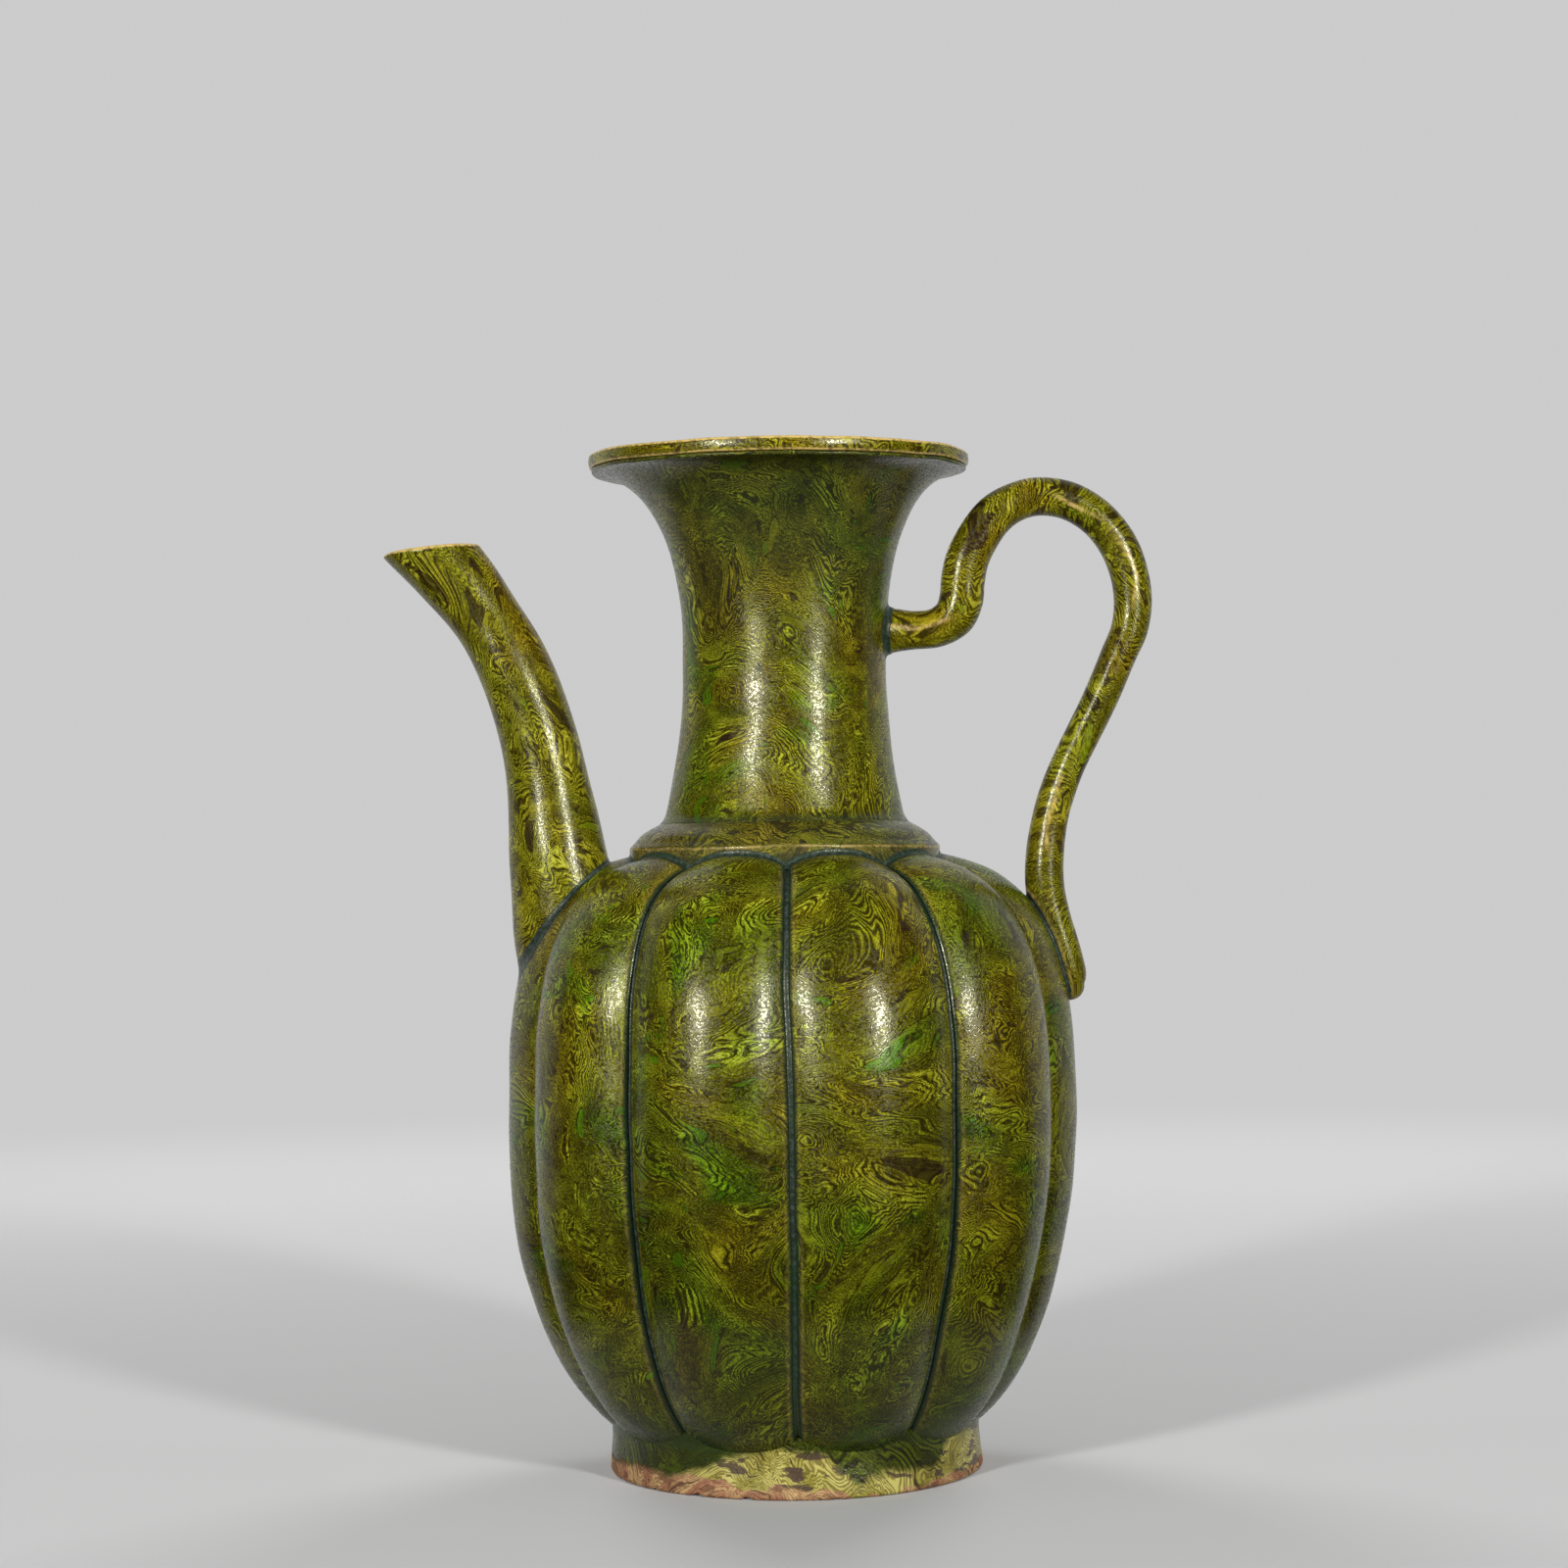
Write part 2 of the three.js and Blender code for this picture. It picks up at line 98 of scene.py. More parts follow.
class EWER_PG_body(bpy.types.PropertyGroup):
    """The ten-lobed body, its seams, its foot and its floor."""
    lobe_count: bpy.props.IntProperty(
        name="Lobes", description="Number of lobes round the body", default=10)
    radius: length("Radius", "Radius over the lobes at the belly", lobe_high.x - axis_x)
    belly_height: length("Belly height", "Height of the widest place", 0.084)
    shoulder_rise: length("Shoulder rise", "Rise of the upper arc from the belly to the axis", 0.0625)
    base_fall: length("Base fall", "Fall of the lower arc from the belly to the axis", 0.0837)
    shoulder_height_power: share("Shoulder height power", "Power of the height in the upper arc", 2.7)
    shoulder_radius_power: share("Shoulder radius power", "Power of the radius in the upper arc", 4.67)
    base_height_power: share("Base height power", "Power of the height in the lower arc", 2.0)
    base_radius_power: share("Base radius power", "Power of the radius in the lower arc", 3.37)
    wall: length("Wall", "Thickness of the lobe panels", 0.0045)
    groove_depth: length("Groove depth", "Depth of the grooves at the belly", 0.0054)
    lobe_power: share("Lobe power", "Power of the way across a lobe in its fall to the groove", 2.1)
    shoulder_fade: share("Shoulder fade", "Share of the groove lost at the top of the upper arc", 0.58)
    base_fade: share("Base fade", "Share of the groove lost at the foot of the lower arc", 0.9)
    groove_half_width: length("Groove half width", "From a groove's middle to a lobe's edge", 0.0005)
    edge_round: length("Edge rounding", "Radius of the rounding along a lobe's edges", 0.0008)
    shoulder_hole: length("Shoulder hole", "Radius of the hole that the collar stands on", 0.029)
    foot_height: length("Foot height", "Height of the foot ring", 0.0102)
    foot_flare: length("Foot flare", "How much wider the foot ring is at the table", 0.0006)
    foot_width: length("Foot width", "Width of the foot ring", 0.0074)


class EWER_PG_neck(bpy.types.PropertyGroup):
    """The collar, the trumpet neck and the lip band."""
    height: length("Mouth height", "Height of the mouth", lip_high.z)
    collar_radius: length("Collar radius", "Outer radius of the collar", 0.0369)
    collar_height: length("Collar height", "Height of the collar over the shoulder", 0.0074)
    foot_height: length("Neck foot height", "Height of the neck's foot", neck_low.z)
    foot_radius: length("Neck foot radius", "Radius of the neck's foot", 0.0287)
    radius: length("Neck radius", "Radius at the waist of the neck", 0.024)
    wall: length("Neck wall", "Thickness of the neck", 0.0036)
    waist_share: share("Waist", "Height of the waist as a share of the neck", 0.427)
    flare_power: share("Flare power", "Power of the height in the neck's flare", 2.5)
    lip_radius: length("Lip radius", "Outer radius of the lip band", (lip_high.x - lip_low.x) / 2)
    lip_height: length("Lip height", "Height of the lip band", 0.0031)
    lip_overhang: length("Lip overhang", "How far the band stands over the flare", 0.0006)
    lip_wall: length("Lip wall", "Thickness of the lip at the mouth", 0.0032)
    lip_round: length("Lip rounding", "Radius of the rounding on the lip's edges", 0.0007)


class EWER_PG_spout(bpy.types.PropertyGroup):
    """The long tapering spout."""
    root_height: length("Root height", "Height at which its middle line starts", 0.112)
    root_reach: length("Root reach", "Distance of its root from the ewer's axis", 0.0505)
    root_radius: length("Root radius", "Radius at the root", 0.013)
    end_height: length("End height", "Height at which its middle line ends", 0.2235)
    end_reach: length("End reach", "Distance of its end from the ewer's axis", 0.0885)
    wall: length("Spout wall", "Thickness of the spout's wall", 0.0021)
    mouth_drop: length("Mouth drop", "How far the slanting mouth lies below the end", 0.00485)
    mouth_inset: length("Mouth inset", "How far the mouth's middle lies inside the end", 0.0051)
    mouth_tilt: slant("Mouth tilt", "Slant of the mouth", 5.0)


class EWER_PG_handle(bpy.types.PropertyGroup):
    """The looped rod handle and its tongue."""
    radius: length("Rod radius", "Radius of the rod", 0.0046)
    reach: length("Reach", "Distance of the rod's outermost place from the ewer's axis", 0.08335)
    root_share: share("Root", "Height of the root as a share of the neck", 0.518)
    top_share: share("Top", "Height of the loop's top as a share of the neck", 0.877)
    root_inset: length("Root inset", "How deep the rod is let into the neck", 0.002)
    root_radius: length("Root radius", "Radius of the rod where it meets the neck", 0.0062)
    seat_height: length("Seat height", "Height at which the rod meets the body", 0.136)
    seat_lift: length("Seat lift", "Distance of the rod's middle from the body there", 0.0063)
    tongue_length: length("Tongue length", "Length of the tongue below the seat", 0.024)
    tongue_lift: length("Tongue lift", "Lift of the tongue's middle off the body", 0.0012)
    sink: length("Sink", "How far the rod is pressed into what carries it", 0.0008)


class EWER_PG_finish(bpy.types.PropertyGroup):
    """The colours of clay, glaze and stage."""
    dark_clay: colour("Dark clay", "Darkest clay under the glaze", (0.026, 0.021, 0.0006))
    mixed_clay: colour("Mixed clay", "Finely mixed clays under the glaze", (0.09, 0.088, 0.003))
    light_clay: colour("Light clay", "Light clay under the glaze", (0.25, 0.265, 0.008))
    pale_clay: colour("Pale clay", "Lightest clay under the glaze", (0.46, 0.49, 0.05))
    olive: colour("Olive glaze", "Tint of the glaze on body and neck", (1.0, 0.97, 0.8))
    ochre: colour("Ochre glaze", "Tint of the glaze on collar, lip, spout and handle", (1.0, 0.87, 0.8))
    green_tint: colour("Green tint", "Where the glaze is greenest", (0.58, 0.9, 0.9))
    brown_tint: colour("Brown tint", "Where the glaze is brownest", (1.0, 0.74, 0.6))
    vivid: colour("Vivid green", "Tint of the patches of copper green", (0.48, 1.0, 0.3))
    # Painted shade: this tint darkens the glaze towards the bottom, standing in for the light that falls off
    # low on the body.
    painted_low_shade: colour("Painted low shade", "Where the glaze has run down and is thick", (0.66, 0.7, 0.5))
    gloss: colour("Gloss", "Tint of what the glaze reflects", (1.0, 0.97, 0.7))
    purple: colour("Dark spots", "Purple-brown spots of dark clay", (0.02, 0.01, 0.005))
    # Pooled glaze colour, and also the colour of the painted shade over the collar and the neck's flare.
    pooled_and_shade: colour("Pooled glaze", "Thick glaze in grooves and joints", (0.014, 0.026, 0.016))
    pooled_mottle: colour("Pooled mottle", "Blue-grey mottle of the thick glaze", (0.045, 0.062, 0.052))
    pooled_green: colour("Pooled green", "Green drifts of the thick glaze", (0.012, 0.036, 0.014))
    pooled_low: colour("Pooled low", "Thick glaze at the foot of the grooves", (0.024, 0.042, 0.016))
    foot_tint: colour("Foot tint", "Tint of the glaze on the foot", (0.22, 0.27, 0.12))
    foot_green: colour("Foot green", "Thick green glaze low on body and foot", (0.012, 0.03, 0.005))
    # Thin glaze colour; along the handle's front it is also used for a streak that is partly a painted
    # highlight.
    thin: colour("Thin glaze", "Thin glaze over edges", (0.62, 0.44, 0.14))
    bare_light: colour("Bare light clay", "Unglazed light clay of the foot", (0.52, 0.33, 0.145))
    bare_pink: colour("Bare pink clay", "Unglazed pink clay of the foot", (0.36, 0.165, 0.085))
    bare_dark: colour("Bare dark clay", "Unglazed dark clay of the foot", (0.07, 0.024, 0.015))
    washed_light: colour("Washed light clay", "Light clay under the foot's thin glaze", (0.5, 0.44, 0.12))
    washed_mixed: colour("Washed mixed clay", "Mixed clay under the foot's thin glaze", (0.26, 0.23, 0.035))
    washed_grain: colour("Washed grain", "Grain of the clay under the thin glaze", (0.09, 0.06, 0.01))
    washed_line: colour("Washed line", "Dark lines under the thin glaze", (0.035, 0.02, 0.01))
    washed_blot: colour("Washed blot", "Dark blots under the thin glaze", (0.06, 0.035, 0.03))
    floor: colour("Floor", "Plain pale floor", (0.6, 0.6, 0.6))
    thrown: colour("Thrown back", "Floor as the light that it throws sees it", (0.12, 0.12, 0.12))
    backdrop: colour("Backdrop", "Plain pale backdrop", (0.6, 0.6, 0.6))
    cloth: colour("Cloth", "Dark cloth that only reflections see", (0.02, 0.02, 0.02))


class EWER_PG_stage(bpy.types.PropertyGroup):
    """Camera, lamps and surroundings."""
    eye_height: length("Eye height", "Height of the camera", 0.152)
    eye_distance: length("Eye distance", "Distance of the camera from the ewer's axis", 0.7946)
    eye_shift: length("Eye shift", "How far the camera stands left of the axis", 0.0004)
    tilt: slant("Tilt", "How far the camera looks up", 0.708)
    roll: slant("Roll", "How far the camera leans", 0.97)
    lens: share("Lens", "Focal length in millimetres", 76.5)
    key_power: power("Key power", "Power of each front lamp", 18.0)
    back_power: power("Back power", "Power of each back lamp", 11.0)
    top_power: power("Top power", "Power of the top lamp", 2.5)
    world_level: share("World level", "Brightness of the surroundings", 0.05)


# The numbers of rows and columns of the grids
crest_rows = 190
lobe_columns = 44
round_columns = 4
turned_sides = 256
fine_sides = 512
neck_rows = 150
bore_rows = 110
limb_stations = 600
spout_sides = 96
spout_rows = 190
spout_bore_rows = 80
handle_sides = 64
handle_rows = 460
bead_steps = 200
bead_profile = 10

# The numbers of points from which even steps are taken, or among which a crossing is looked for
crest_points = 4000
span_points = 60
outline_points = 500
ray_points = 160

# How strongly the columns of a lobe crowd towards its edges
lobe_crowding = 0.92

# Gap that keeps neighbours apart
hair = 0.0001

# The foot's rounded edge, the depth of its chips and how far it reaches in below the lobes
foot_bevel = 0.0009
chip_depth = 0.0006
foot_tuck = 0.0015

# How far below the groove the middle of a seam and its inner side lie
seam_hollow = 0.0008
seam_depth = 0.0035

# How deep the collar stands in the shoulder, the size of the fillet at the neck's foot, and the rise
# of the spout's rounded rim
collar_sunk = 0.0012
neck_fillet = 0.0008
mouth_round = 0.0009

# Heights between which the skin under the lobes is looked for, and up to which the shoulder is
foot_search = (0.004, 0.03)
shoulder_top = 0.15

# Sizes of the beads
collar_bead = 0.0011
spout_bead = 0.001
upper_bead = 0.0014
lower_bead = 0.0009

# Newton steps that bring a bead's points to their places: how many there are, the share of each that
# is taken, and the least divisor, for places where both skins run almost side by side
newton_steps = 14
newton_share = 0.8
least_spread = 0.15

# The potter's unevenness: the length of its waves and their size, and how many there are of each
uneven_waves = ((0.09, 0.00028), (0.045, 0.00014), (0.022, 0.00007), (0.011, 0.000028))
waves_of_each = 5

# Depth of the relief of the glazes
glaze_relief = 0.000034
pooled_relief = 0.00006
foot_relief = 0.00004

# Shares of the collar's width and of its height
collar_shares = [
    (1, 0.13), (1.004, 0.2), (0.96, 0.27), (0.86, 0.38), (0.67, 0.62), (0.4, 0.82), (0.2, 0.93), (0.08, 1.0),
]

# Shares of the spout's reach, of its rise and of its radius at the root
spout_shares = [
    (0, 0, 1), (0.058, 0.126, 0.98), (0.082, 0.251, 0.935), (0.124, 0.377, 0.835), (0.179, 0.502, 0.742),
    (0.284, 0.628, 0.704), (0.382, 0.712, 0.681), (0.518, 0.796, 0.642), (0.729, 0.897, 0.7), (1, 1, 0.74),
]

# The handle's loop: shares of its reach from the neck, of its rise from root to top and of its radius
loop_shares = [
    (0.04, 0, 1.13), (0.118, 0, 1), (0.21, 0.02, 1.04), (0.276, 0.1, 1.11), (0.308, 0.228, 1.15),
    (0.317, 0.372, 1.15), (0.335, 0.523, 1.14), (0.376, 0.677, 1.1), (0.449, 0.856, 1.05),
    (0.539, 0.96, 1), (0.637, 1, 1), (0.75, 0.963, 1), (0.851, 0.849, 1), (0.93, 0.671, 1),
    (0.981, 0.446, 1), (1, 0.215, 1),
]

# Its limb: shares of the reach from the seat, of the drop from root to seat and of its radius
limb_shares = [
    (0.96, 0.01, 0.98), (0.85, 0.106, 0.96), (0.669, 0.256, 0.93), (0.448, 0.408, 0.92),
    (0.242, 0.558, 0.92), (0.093, 0.71, 0.95), (0.019, 0.86, 1), (0, 1, 1.02),
]

# Its tongue: shares of the lift off the body, of its length and of the rod's radius
tongue_shares = [(1.9, 0.31, 1), (1.2, 0.54, 0.98), (1.0, 0.73, 0.98), (0.9, 0.88, 0.95), (0.7, 0.97, 0.78)]


# Grids and meshes

def unit(vectors):
    """Vectors divided by their own lengths."""
    return vectors / np.linalg.norm(vectors, axis=-1, keepdims=True)


def smooth_step(value, low, high):
    """0 below low, 1 above high, and between them 3 s^2 - 2 s^3 of the share s of the way."""
    way = np.clip((value - low) / (high - low), 0, 1)
    return way * way * (3 - 2 * way)


def band(value, low, full, fading, high):
    """0 below low, 1 from full to fading and 0 above high, with smooth steps between."""
    return smooth_step(value, low, full) * (1 - smooth_step(value, fading, high))


def hand_made(points):
    """The potter's unevenness: each point moves by a sum of sine waves of its place, long waves a lot
    and short ones a little. All pieces share the field, so that joints stay closed. The foot's face
    stays flat, because the move along Z fades out towards the table."""
    rng = np.random.default_rng(11)
    moved = np.zeros_like(points)
    for wave_length, size in uneven_waves:
        for _ in range(waves_of_each):
            way = unit(rng.normal(size=3)) * TURN / wave_length
            push = unit(rng.normal(size=3)) * size
            moved += np.sin(points @ way + rng.uniform(0, TURN))[..., None] * push
    moved[..., 2] *= smooth_step(points[..., 2], 0.001, 0.02)
    return points + moved


def quads_of(rows, columns, wrap_rows, wrap_columns):
    """Corner numbers of the faces between neighbours of a grid, which may close on itself either way."""
    i = np.arange(rows if wrap_rows else rows - 1)[:, None]
    j = np.arange(columns if wrap_columns else columns - 1)[None, :]
    below, beside = (i + 1) % rows, (j + 1) % columns
    corners = [i * columns + j, i * columns + beside, below * columns + beside, below * columns + j]
    return np.stack([np.broadcast_to(c, (i.size, j.size)) for c in corners], axis=-1).reshape(-1, 4)


def new_piece(node, points, faces, marks, finish):
    """A mesh from points and faces, with one attribute for each mark, that stands for a node."""
    name = f"glazed_{node}"
    mesh = bpy.data.meshes.new(name)
    mesh.from_pydata(hand_made(points).tolist(), [], [face.tolist() for face in faces])
    for mark, values in marks.items():
        kind, field = ("FLOAT_VECTOR", "vector") if values.ndim == 2 else ("FLOAT", "value")
        mesh.attributes.new(mark, kind, "POINT").data.foreach_set(field, values.astype(np.float32).ravel())
    mesh.shade_smooth()
    mesh.materials.append(bpy.data.materials[finish])
    piece = bpy.data.objects.new(name, mesh)
    bpy.context.scene.collection.objects.link(piece)
    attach(piece, "root")
    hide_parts(node)


def flat_marks(marks):
    """Each mark's grid as one row of numbers, or of vectors where it holds vectors."""
    return {mark: grid.reshape(-1, 3) if grid.ndim == 3 else grid.ravel() for mark, grid in marks.items()}


def ring_piece(node, points, marks, finish, turn_over=False):
    """A grid that closes on itself both ways, so a solid of the shape of a ring."""
    rows, columns = points.shape[:2]
    faces = quads_of(rows, columns, True, True)
    if turn_over:
        faces = faces[:, ::-1]
    new_piece(node, points.reshape(-1, 3), faces, flat_marks(marks), finish)


def capped_piece(node, points, marks, finish, turn_over=False):
    """A grid whose rows close on themselves, with a flat face over its first and its last row."""
    rows, columns = points.shape[:2]
    faces = quads_of(rows, columns, False, True)
    first = np.arange(columns)[::-1]
    last = np.arange(columns) + (rows - 1) * columns
    if turn_over:
        faces, first, last = faces[:, ::-1], first[::-1], last[::-1]
    new_piece(node, points.reshape(-1, 3), [*faces, first, last], flat_marks(marks), finish)


def round_the_axis(radius, height, angle):
    """Points at a radius, a height and an angle about the ewer's axis."""
    radius, height, angle = np.broadcast_arrays(radius, height, angle)
    return np.stack([axis_x + radius * np.cos(angle), radius * np.sin(angle), height], axis=-1)


def off_axis(points):
    """Distance of points from the ewer's axis."""
    return np.hypot(points[..., 0] - axis_x, points[..., 1])


def angles(count):
    """Even steps round a turn, as one row of a grid."""
    return np.linspace(0, TURN, count, endpoint=False)[None, :]


def way_along(line):
    """Distance of each point of a line from its first one, along it."""
    steps = np.linalg.norm(np.diff(line, axis=0), axis=1)
    return np.concatenate([[0], np.cumsum(steps)])


def evenly_along(line, count):
    """Points at even steps along a line that is given as many points."""
    way = way_along(line)
    wanted = np.linspace(0, way[-1], count)
    return np.stack([np.interp(wanted, way, line[:, k]) for k in range(line.shape[1])], axis=-1)


def curve_through(guide, count):
    """Centripetal Catmull-Rom curve: each span blends the lines through its four nearest guide points,
    with knots a square root of their distance apart. Returned at even steps."""
    guide = np.asarray(guide, float)
    guide = np.concatenate([[2 * guide[0] - guide[1]], guide, [2 * guide[-1] - guide[-2]]])
    parts = []
    for k in range(len(guide) - 3):
        p = guide[k:k + 4]
        knots = np.concatenate([[0], np.cumsum(np.sqrt(np.linalg.norm(np.diff(p, axis=0), axis=1)))])
        at = np.linspace(knots[1], knots[2], span_points)[:, None]

        def between(low, high, a, b):
            """The line through two points that lie at two knots."""
            return ((knots[high] - at) * a + (at - knots[low]) * b) / (knots[high] - knots[low])

        near = [between(j, j + 1, p[j], p[j + 1]) for j in range(3)]
        wide = [between(j, j + 2, near[j], near[j + 1]) for j in range(2)]
        parts.append(between(1, 2, wide[0], wide[1]))
    return evenly_along(np.concatenate(parts), count)


# Shape of the body

def arc_values(body, height):
    """Span, height power, radius power and groove fade of the arc that a height lies on."""
    upper = height >= body.belly_height
    return (np.where(upper, body.shoulder_rise, body.base_fall),
            np.where(upper, body.shoulder_height_power, body.base_height_power),
            np.where(upper, body.shoulder_radius_power, body.base_radius_power),
            np.where(upper, body.shoulder_fade, body.base_fade))


def crest_normal(body, radius, height):
    """Outward direction (radius, height) of the superellipse, which is its gradient made one long,
    and how steep the gradient is."""
    span, height_power, radius_power, _ = arc_values(body, height)
    rise = (height - body.belly_height) / span
    along = np.sign(rise) * height_power * np.abs(rise) ** (height_power - 1) / span
    across = radius_power * (np.maximum(radius, 0) / body.radius) ** (radius_power - 1) / body.radius
    steep = np.hypot(across, along)
    return across / steep, along / steep, steep


def groove_at(body, height):
    """Depth of the grooves: it fades with the cube of the way from the belly."""
    span, _, _, fade = arc_values(body, height)
    return body.groove_depth * (1 - fade * np.minimum(1, np.abs(height - body.belly_height) / span) ** 3)


def crest_radius(body, height):
    """Radius over the lobes: share of height and share of radius, raised to their powers, add to one."""
    span, height_power, radius_power, _ = arc_values(body, height)
    away = np.minimum(1, np.abs(height - body.belly_height) / span)
    return body.radius * (1 - away ** height_power) ** (1 / radius_power)


def crest_line(body):
    """Radius and height at even steps along the crest of a lobe, from inside the foot to the hole."""
    low = math.asin((body.belly_height - body.foot_height * 0.7) / body.base_fall)
    high = math.acos((body.shoulder_hole / body.radius) ** (body.shoulder_radius_power / 2))
    angle = np.linspace(-low, high, crest_points)
    span, height_power, radius_power, _ = arc_values(body, body.belly_height + angle)
    height = body.belly_height + np.sign(angle) * span * np.abs(np.sin(angle)) ** (2 / height_power)
    radius = body.radius * np.cos(angle) ** (2 / radius_power)
    return evenly_along(np.stack([radius, height], axis=-1), crest_rows)


def way_across(body, radius, angle):
    """Share from -1 to 1 of the way across a lobe, at an angle about the axis."""
    lobe_angle = TURN / body.lobe_count
    off = (angle + lobe_angle / 2) % lobe_angle - lobe_angle / 2
    edge = lobe_angle / 2 - np.arcsin(np.minimum(0.9, body.groove_half_width / np.maximum(radius, 0.01)))
    return np.clip(off / edge, -1, 1)


def above_body(body, points):
    """Distance of points above the lobed skin: value of the superellipse over its gradient, plus the
    depth to which the lobe has fallen there."""
    x, y = points[..., 0] - axis_x, points[..., 1]
    radius, height = np.hypot(x, y), points[..., 2]
    span, height_power, radius_power, _ = arc_values(body, height)
    away = np.abs(height - body.belly_height) / span
    value = away ** height_power + (radius / body.radius) ** radius_power
    steep = crest_normal(body, radius, height)[2]
    fall = groove_at(body, height) * np.abs(way_across(body, radius, np.arctan2(y, x))) ** body.lobe_power
    return (value - 1) / steep + fall


def above_neck(neck, points):
    """Distance of points outside the neck: the gap in radius, less by the slope of the outline."""
    radius, height = off_axis(points), points[..., 2]
    step = 0.0005
    slope = (neck_radius(neck, height + step) - neck_radius(neck, height - step)) / (2 * step)
    return (radius - neck_radius(neck, height)) / np.sqrt(1 + slope ** 2)


def body_height(body, radius, angle, low, high):
    """Height at which the lobed skin has a radius: the crossing is halved thirty times."""
    radius, angle = np.broadcast_arrays(radius, angle)
    low, high = np.full(radius.shape, low), np.full(radius.shape, high)
    rising = above_body(body, round_the_axis(radius, high, angle)) > 0
    for _ in range(30):
        middle = (low + high) / 2
        outside = above_body(body, round_the_axis(radius, middle, angle)) > 0
        keep_low = outside == rising
        low, high = np.where(keep_low, low, middle), np.where(keep_low, middle, high)
    return (low + high) / 2


# Shape of the neck

def trumpet_radius(neck, height, waist, foot, rim, rim_height):
    """Below the waist the radius grows with the square of the way down. Above it, by one minus the
    square root of one minus a power of the way up."""
    waist_height = neck.foot_height + (neck.height - neck.foot_height) * neck.waist_share
    down = (waist_height - height) / (waist_height - neck.foot_height)
    up = np.clip((height - waist_height) / (rim_height - waist_height), 0, 1)
    flare = waist + (rim - waist) * (1 - np.sqrt(1 - up ** neck.flare_power))
    return np.where(height < waist_height, waist + (foot - waist) * down ** 2, flare)


def neck_radius(neck, height):
    """Radius of the neck's outside, whose flare ends just below the lip band."""
    rim_height = neck.height - neck.lip_height - 0.0009
    return trumpet_radius(
        neck, height, neck.radius, neck.foot_radius, neck.lip_radius - neck.lip_overhang, rim_height)


def bore_radius(neck, height):
    """Radius of the neck's inside, whose flare ends at the mouth."""
    return trumpet_radius(neck, height, neck.radius - neck.wall, neck.foot_radius - neck.wall,
                          neck.lip_radius - neck.lip_wall, neck.height)


def neck_place(neck, place_share):
    """Height of a share of the neck, counted from its foot to the mouth."""
    return neck.foot_height + (neck.height - neck.foot_height) * place_share


# Shape of spout and handle

def spout_stations(spout):
    """Stations (x, z, radius) of the spout from its root to past its mouth."""
    guide = [(axis_x - spout.root_reach - (spout.end_reach - spout.root_reach) * reach,
              spout.root_height + (spout.end_height - spout.root_height) * rise,
              spout.root_radius * radius) for reach, rise, radius in spout_shares]
    return curve_through(guide, limb_stations)


def handle_stations(body, neck, handle):
    """Stations (x, z, radius) of the handle from inside the neck to the end of its tongue."""
    root, top = neck_place(neck, handle.root_share), neck_place(neck, handle.top_share)
    near = float(neck_radius(neck, np.array(root)))
    seat = float(crest_radius(body, np.array(handle.seat_height))) + handle.seat_lift
    guide = [(near - handle.root_inset, root, handle.root_radius)]
    guide += [(near + (handle.reach - near) * reach, root + (top - root) * rise, handle.radius * radius)
              for reach, rise, radius in loop_shares]
    guide += [(seat + (handle.reach - seat) * reach, root + (handle.seat_height - root) * drop,
               handle.radius * radius) for reach, drop, radius in limb_shares]
    for lift, along, radius in tongue_shares:
        height = handle.seat_height - handle.tongue_length * along
        reach = float(crest_radius(body, np.array(height))) + handle.tongue_lift * lift
        guide.append((reach, height, handle.radius * radius))
    guide = np.array(guide)
    guide[:, 0] += axis_x
    return curve_through(guide, limb_stations)


def limb_points(stations, along, round_angle, thinner=0.0):
    """Points of a round limb: along runs from 0 to 1 over its stations, and the angle runs round it,
    from the side through the upper edge. Thinner takes a wall's thickness off its radius."""
    along, round_angle = np.broadcast_arrays(along, round_angle)
    at = np.linspace(0, 1, len(stations))
    x, z, radius = (np.interp(along, at, stations[:, k]) for k in range(3))
    way = unit(np.gradient(stations[:, :2], axis=0))
    way_x, way_z = (np.interp(along, at, way[:, k]) for k in range(2))
    radius = radius - thinner
    across, up = radius * np.cos(round_angle), radius * np.sin(round_angle)
    return np.stack([x - way_z * up, across, z + way_x * up], axis=-1)


def limb_clay(girth, reach, start, along, round_angle):
    """Places in the clay of a limb that was rolled from it, in millimetres: a circle as wide as its
    girth, carried along its reach."""
    return np.stack(np.broadcast_arrays(
        girth * np.cos(round_angle), girth * np.sin(round_angle), reach * along + start), axis=-1)


def off_limb(stations, points):
    """Distance of points outside a limb, with the direction away from it: the nearest ball of the row
    of balls that the stations stand for. The points are taken some at a time, to save memory."""
    flat = points.reshape(-1, 3)
    middles = np.stack([stations[:, 0], np.zeros(len(stations)), stations[:, 1]], axis=-1)
    best = np.full(len(flat), np.inf)
    away = np.zeros_like(flat)
    at_a_time = 4000
    for start in range(0, len(flat), at_a_time):
        part = flat[start:start + at_a_time]
        off = part[:, None, :] - middles[None, :, :]
        distance = np.linalg.norm(off, axis=-1)
        gap = distance - stations[None, :, 2]
        nearest = gap.argmin(axis=1)
        row = np.arange(len(part))
        best[start:start + at_a_time] = gap[row, nearest]
        away[start:start + at_a_time] = off[row, nearest] / distance[row, nearest][:, None]
    return best.reshape(points.shape[:-1]), away.reshape(points.shape)


def first_crossing(values, along):
    """Place along each column where the values last turn from below zero to above it."""
    below = values <= 0
    last = values.shape[0] - 1 - np.argmax(below[::-1], axis=0)
    last = np.minimum(last, values.shape[0] - 2)
    column = np.arange(values.shape[1])
    a, b = values[last, column], values[last + 1, column]
    return along[last] + (along[last + 1] - along[last]) * np.clip(-a / (b - a), 0, 1)


def gradient_of(distance, points):
    """Direction in which a distance grows, from its change over a small step along each axis."""
    step = 0.00002
    sides = [distance(points + step * axis) - distance(points - step * axis) for axis in np.eye(3)]
    return unit(np.stack(sides, axis=-1))


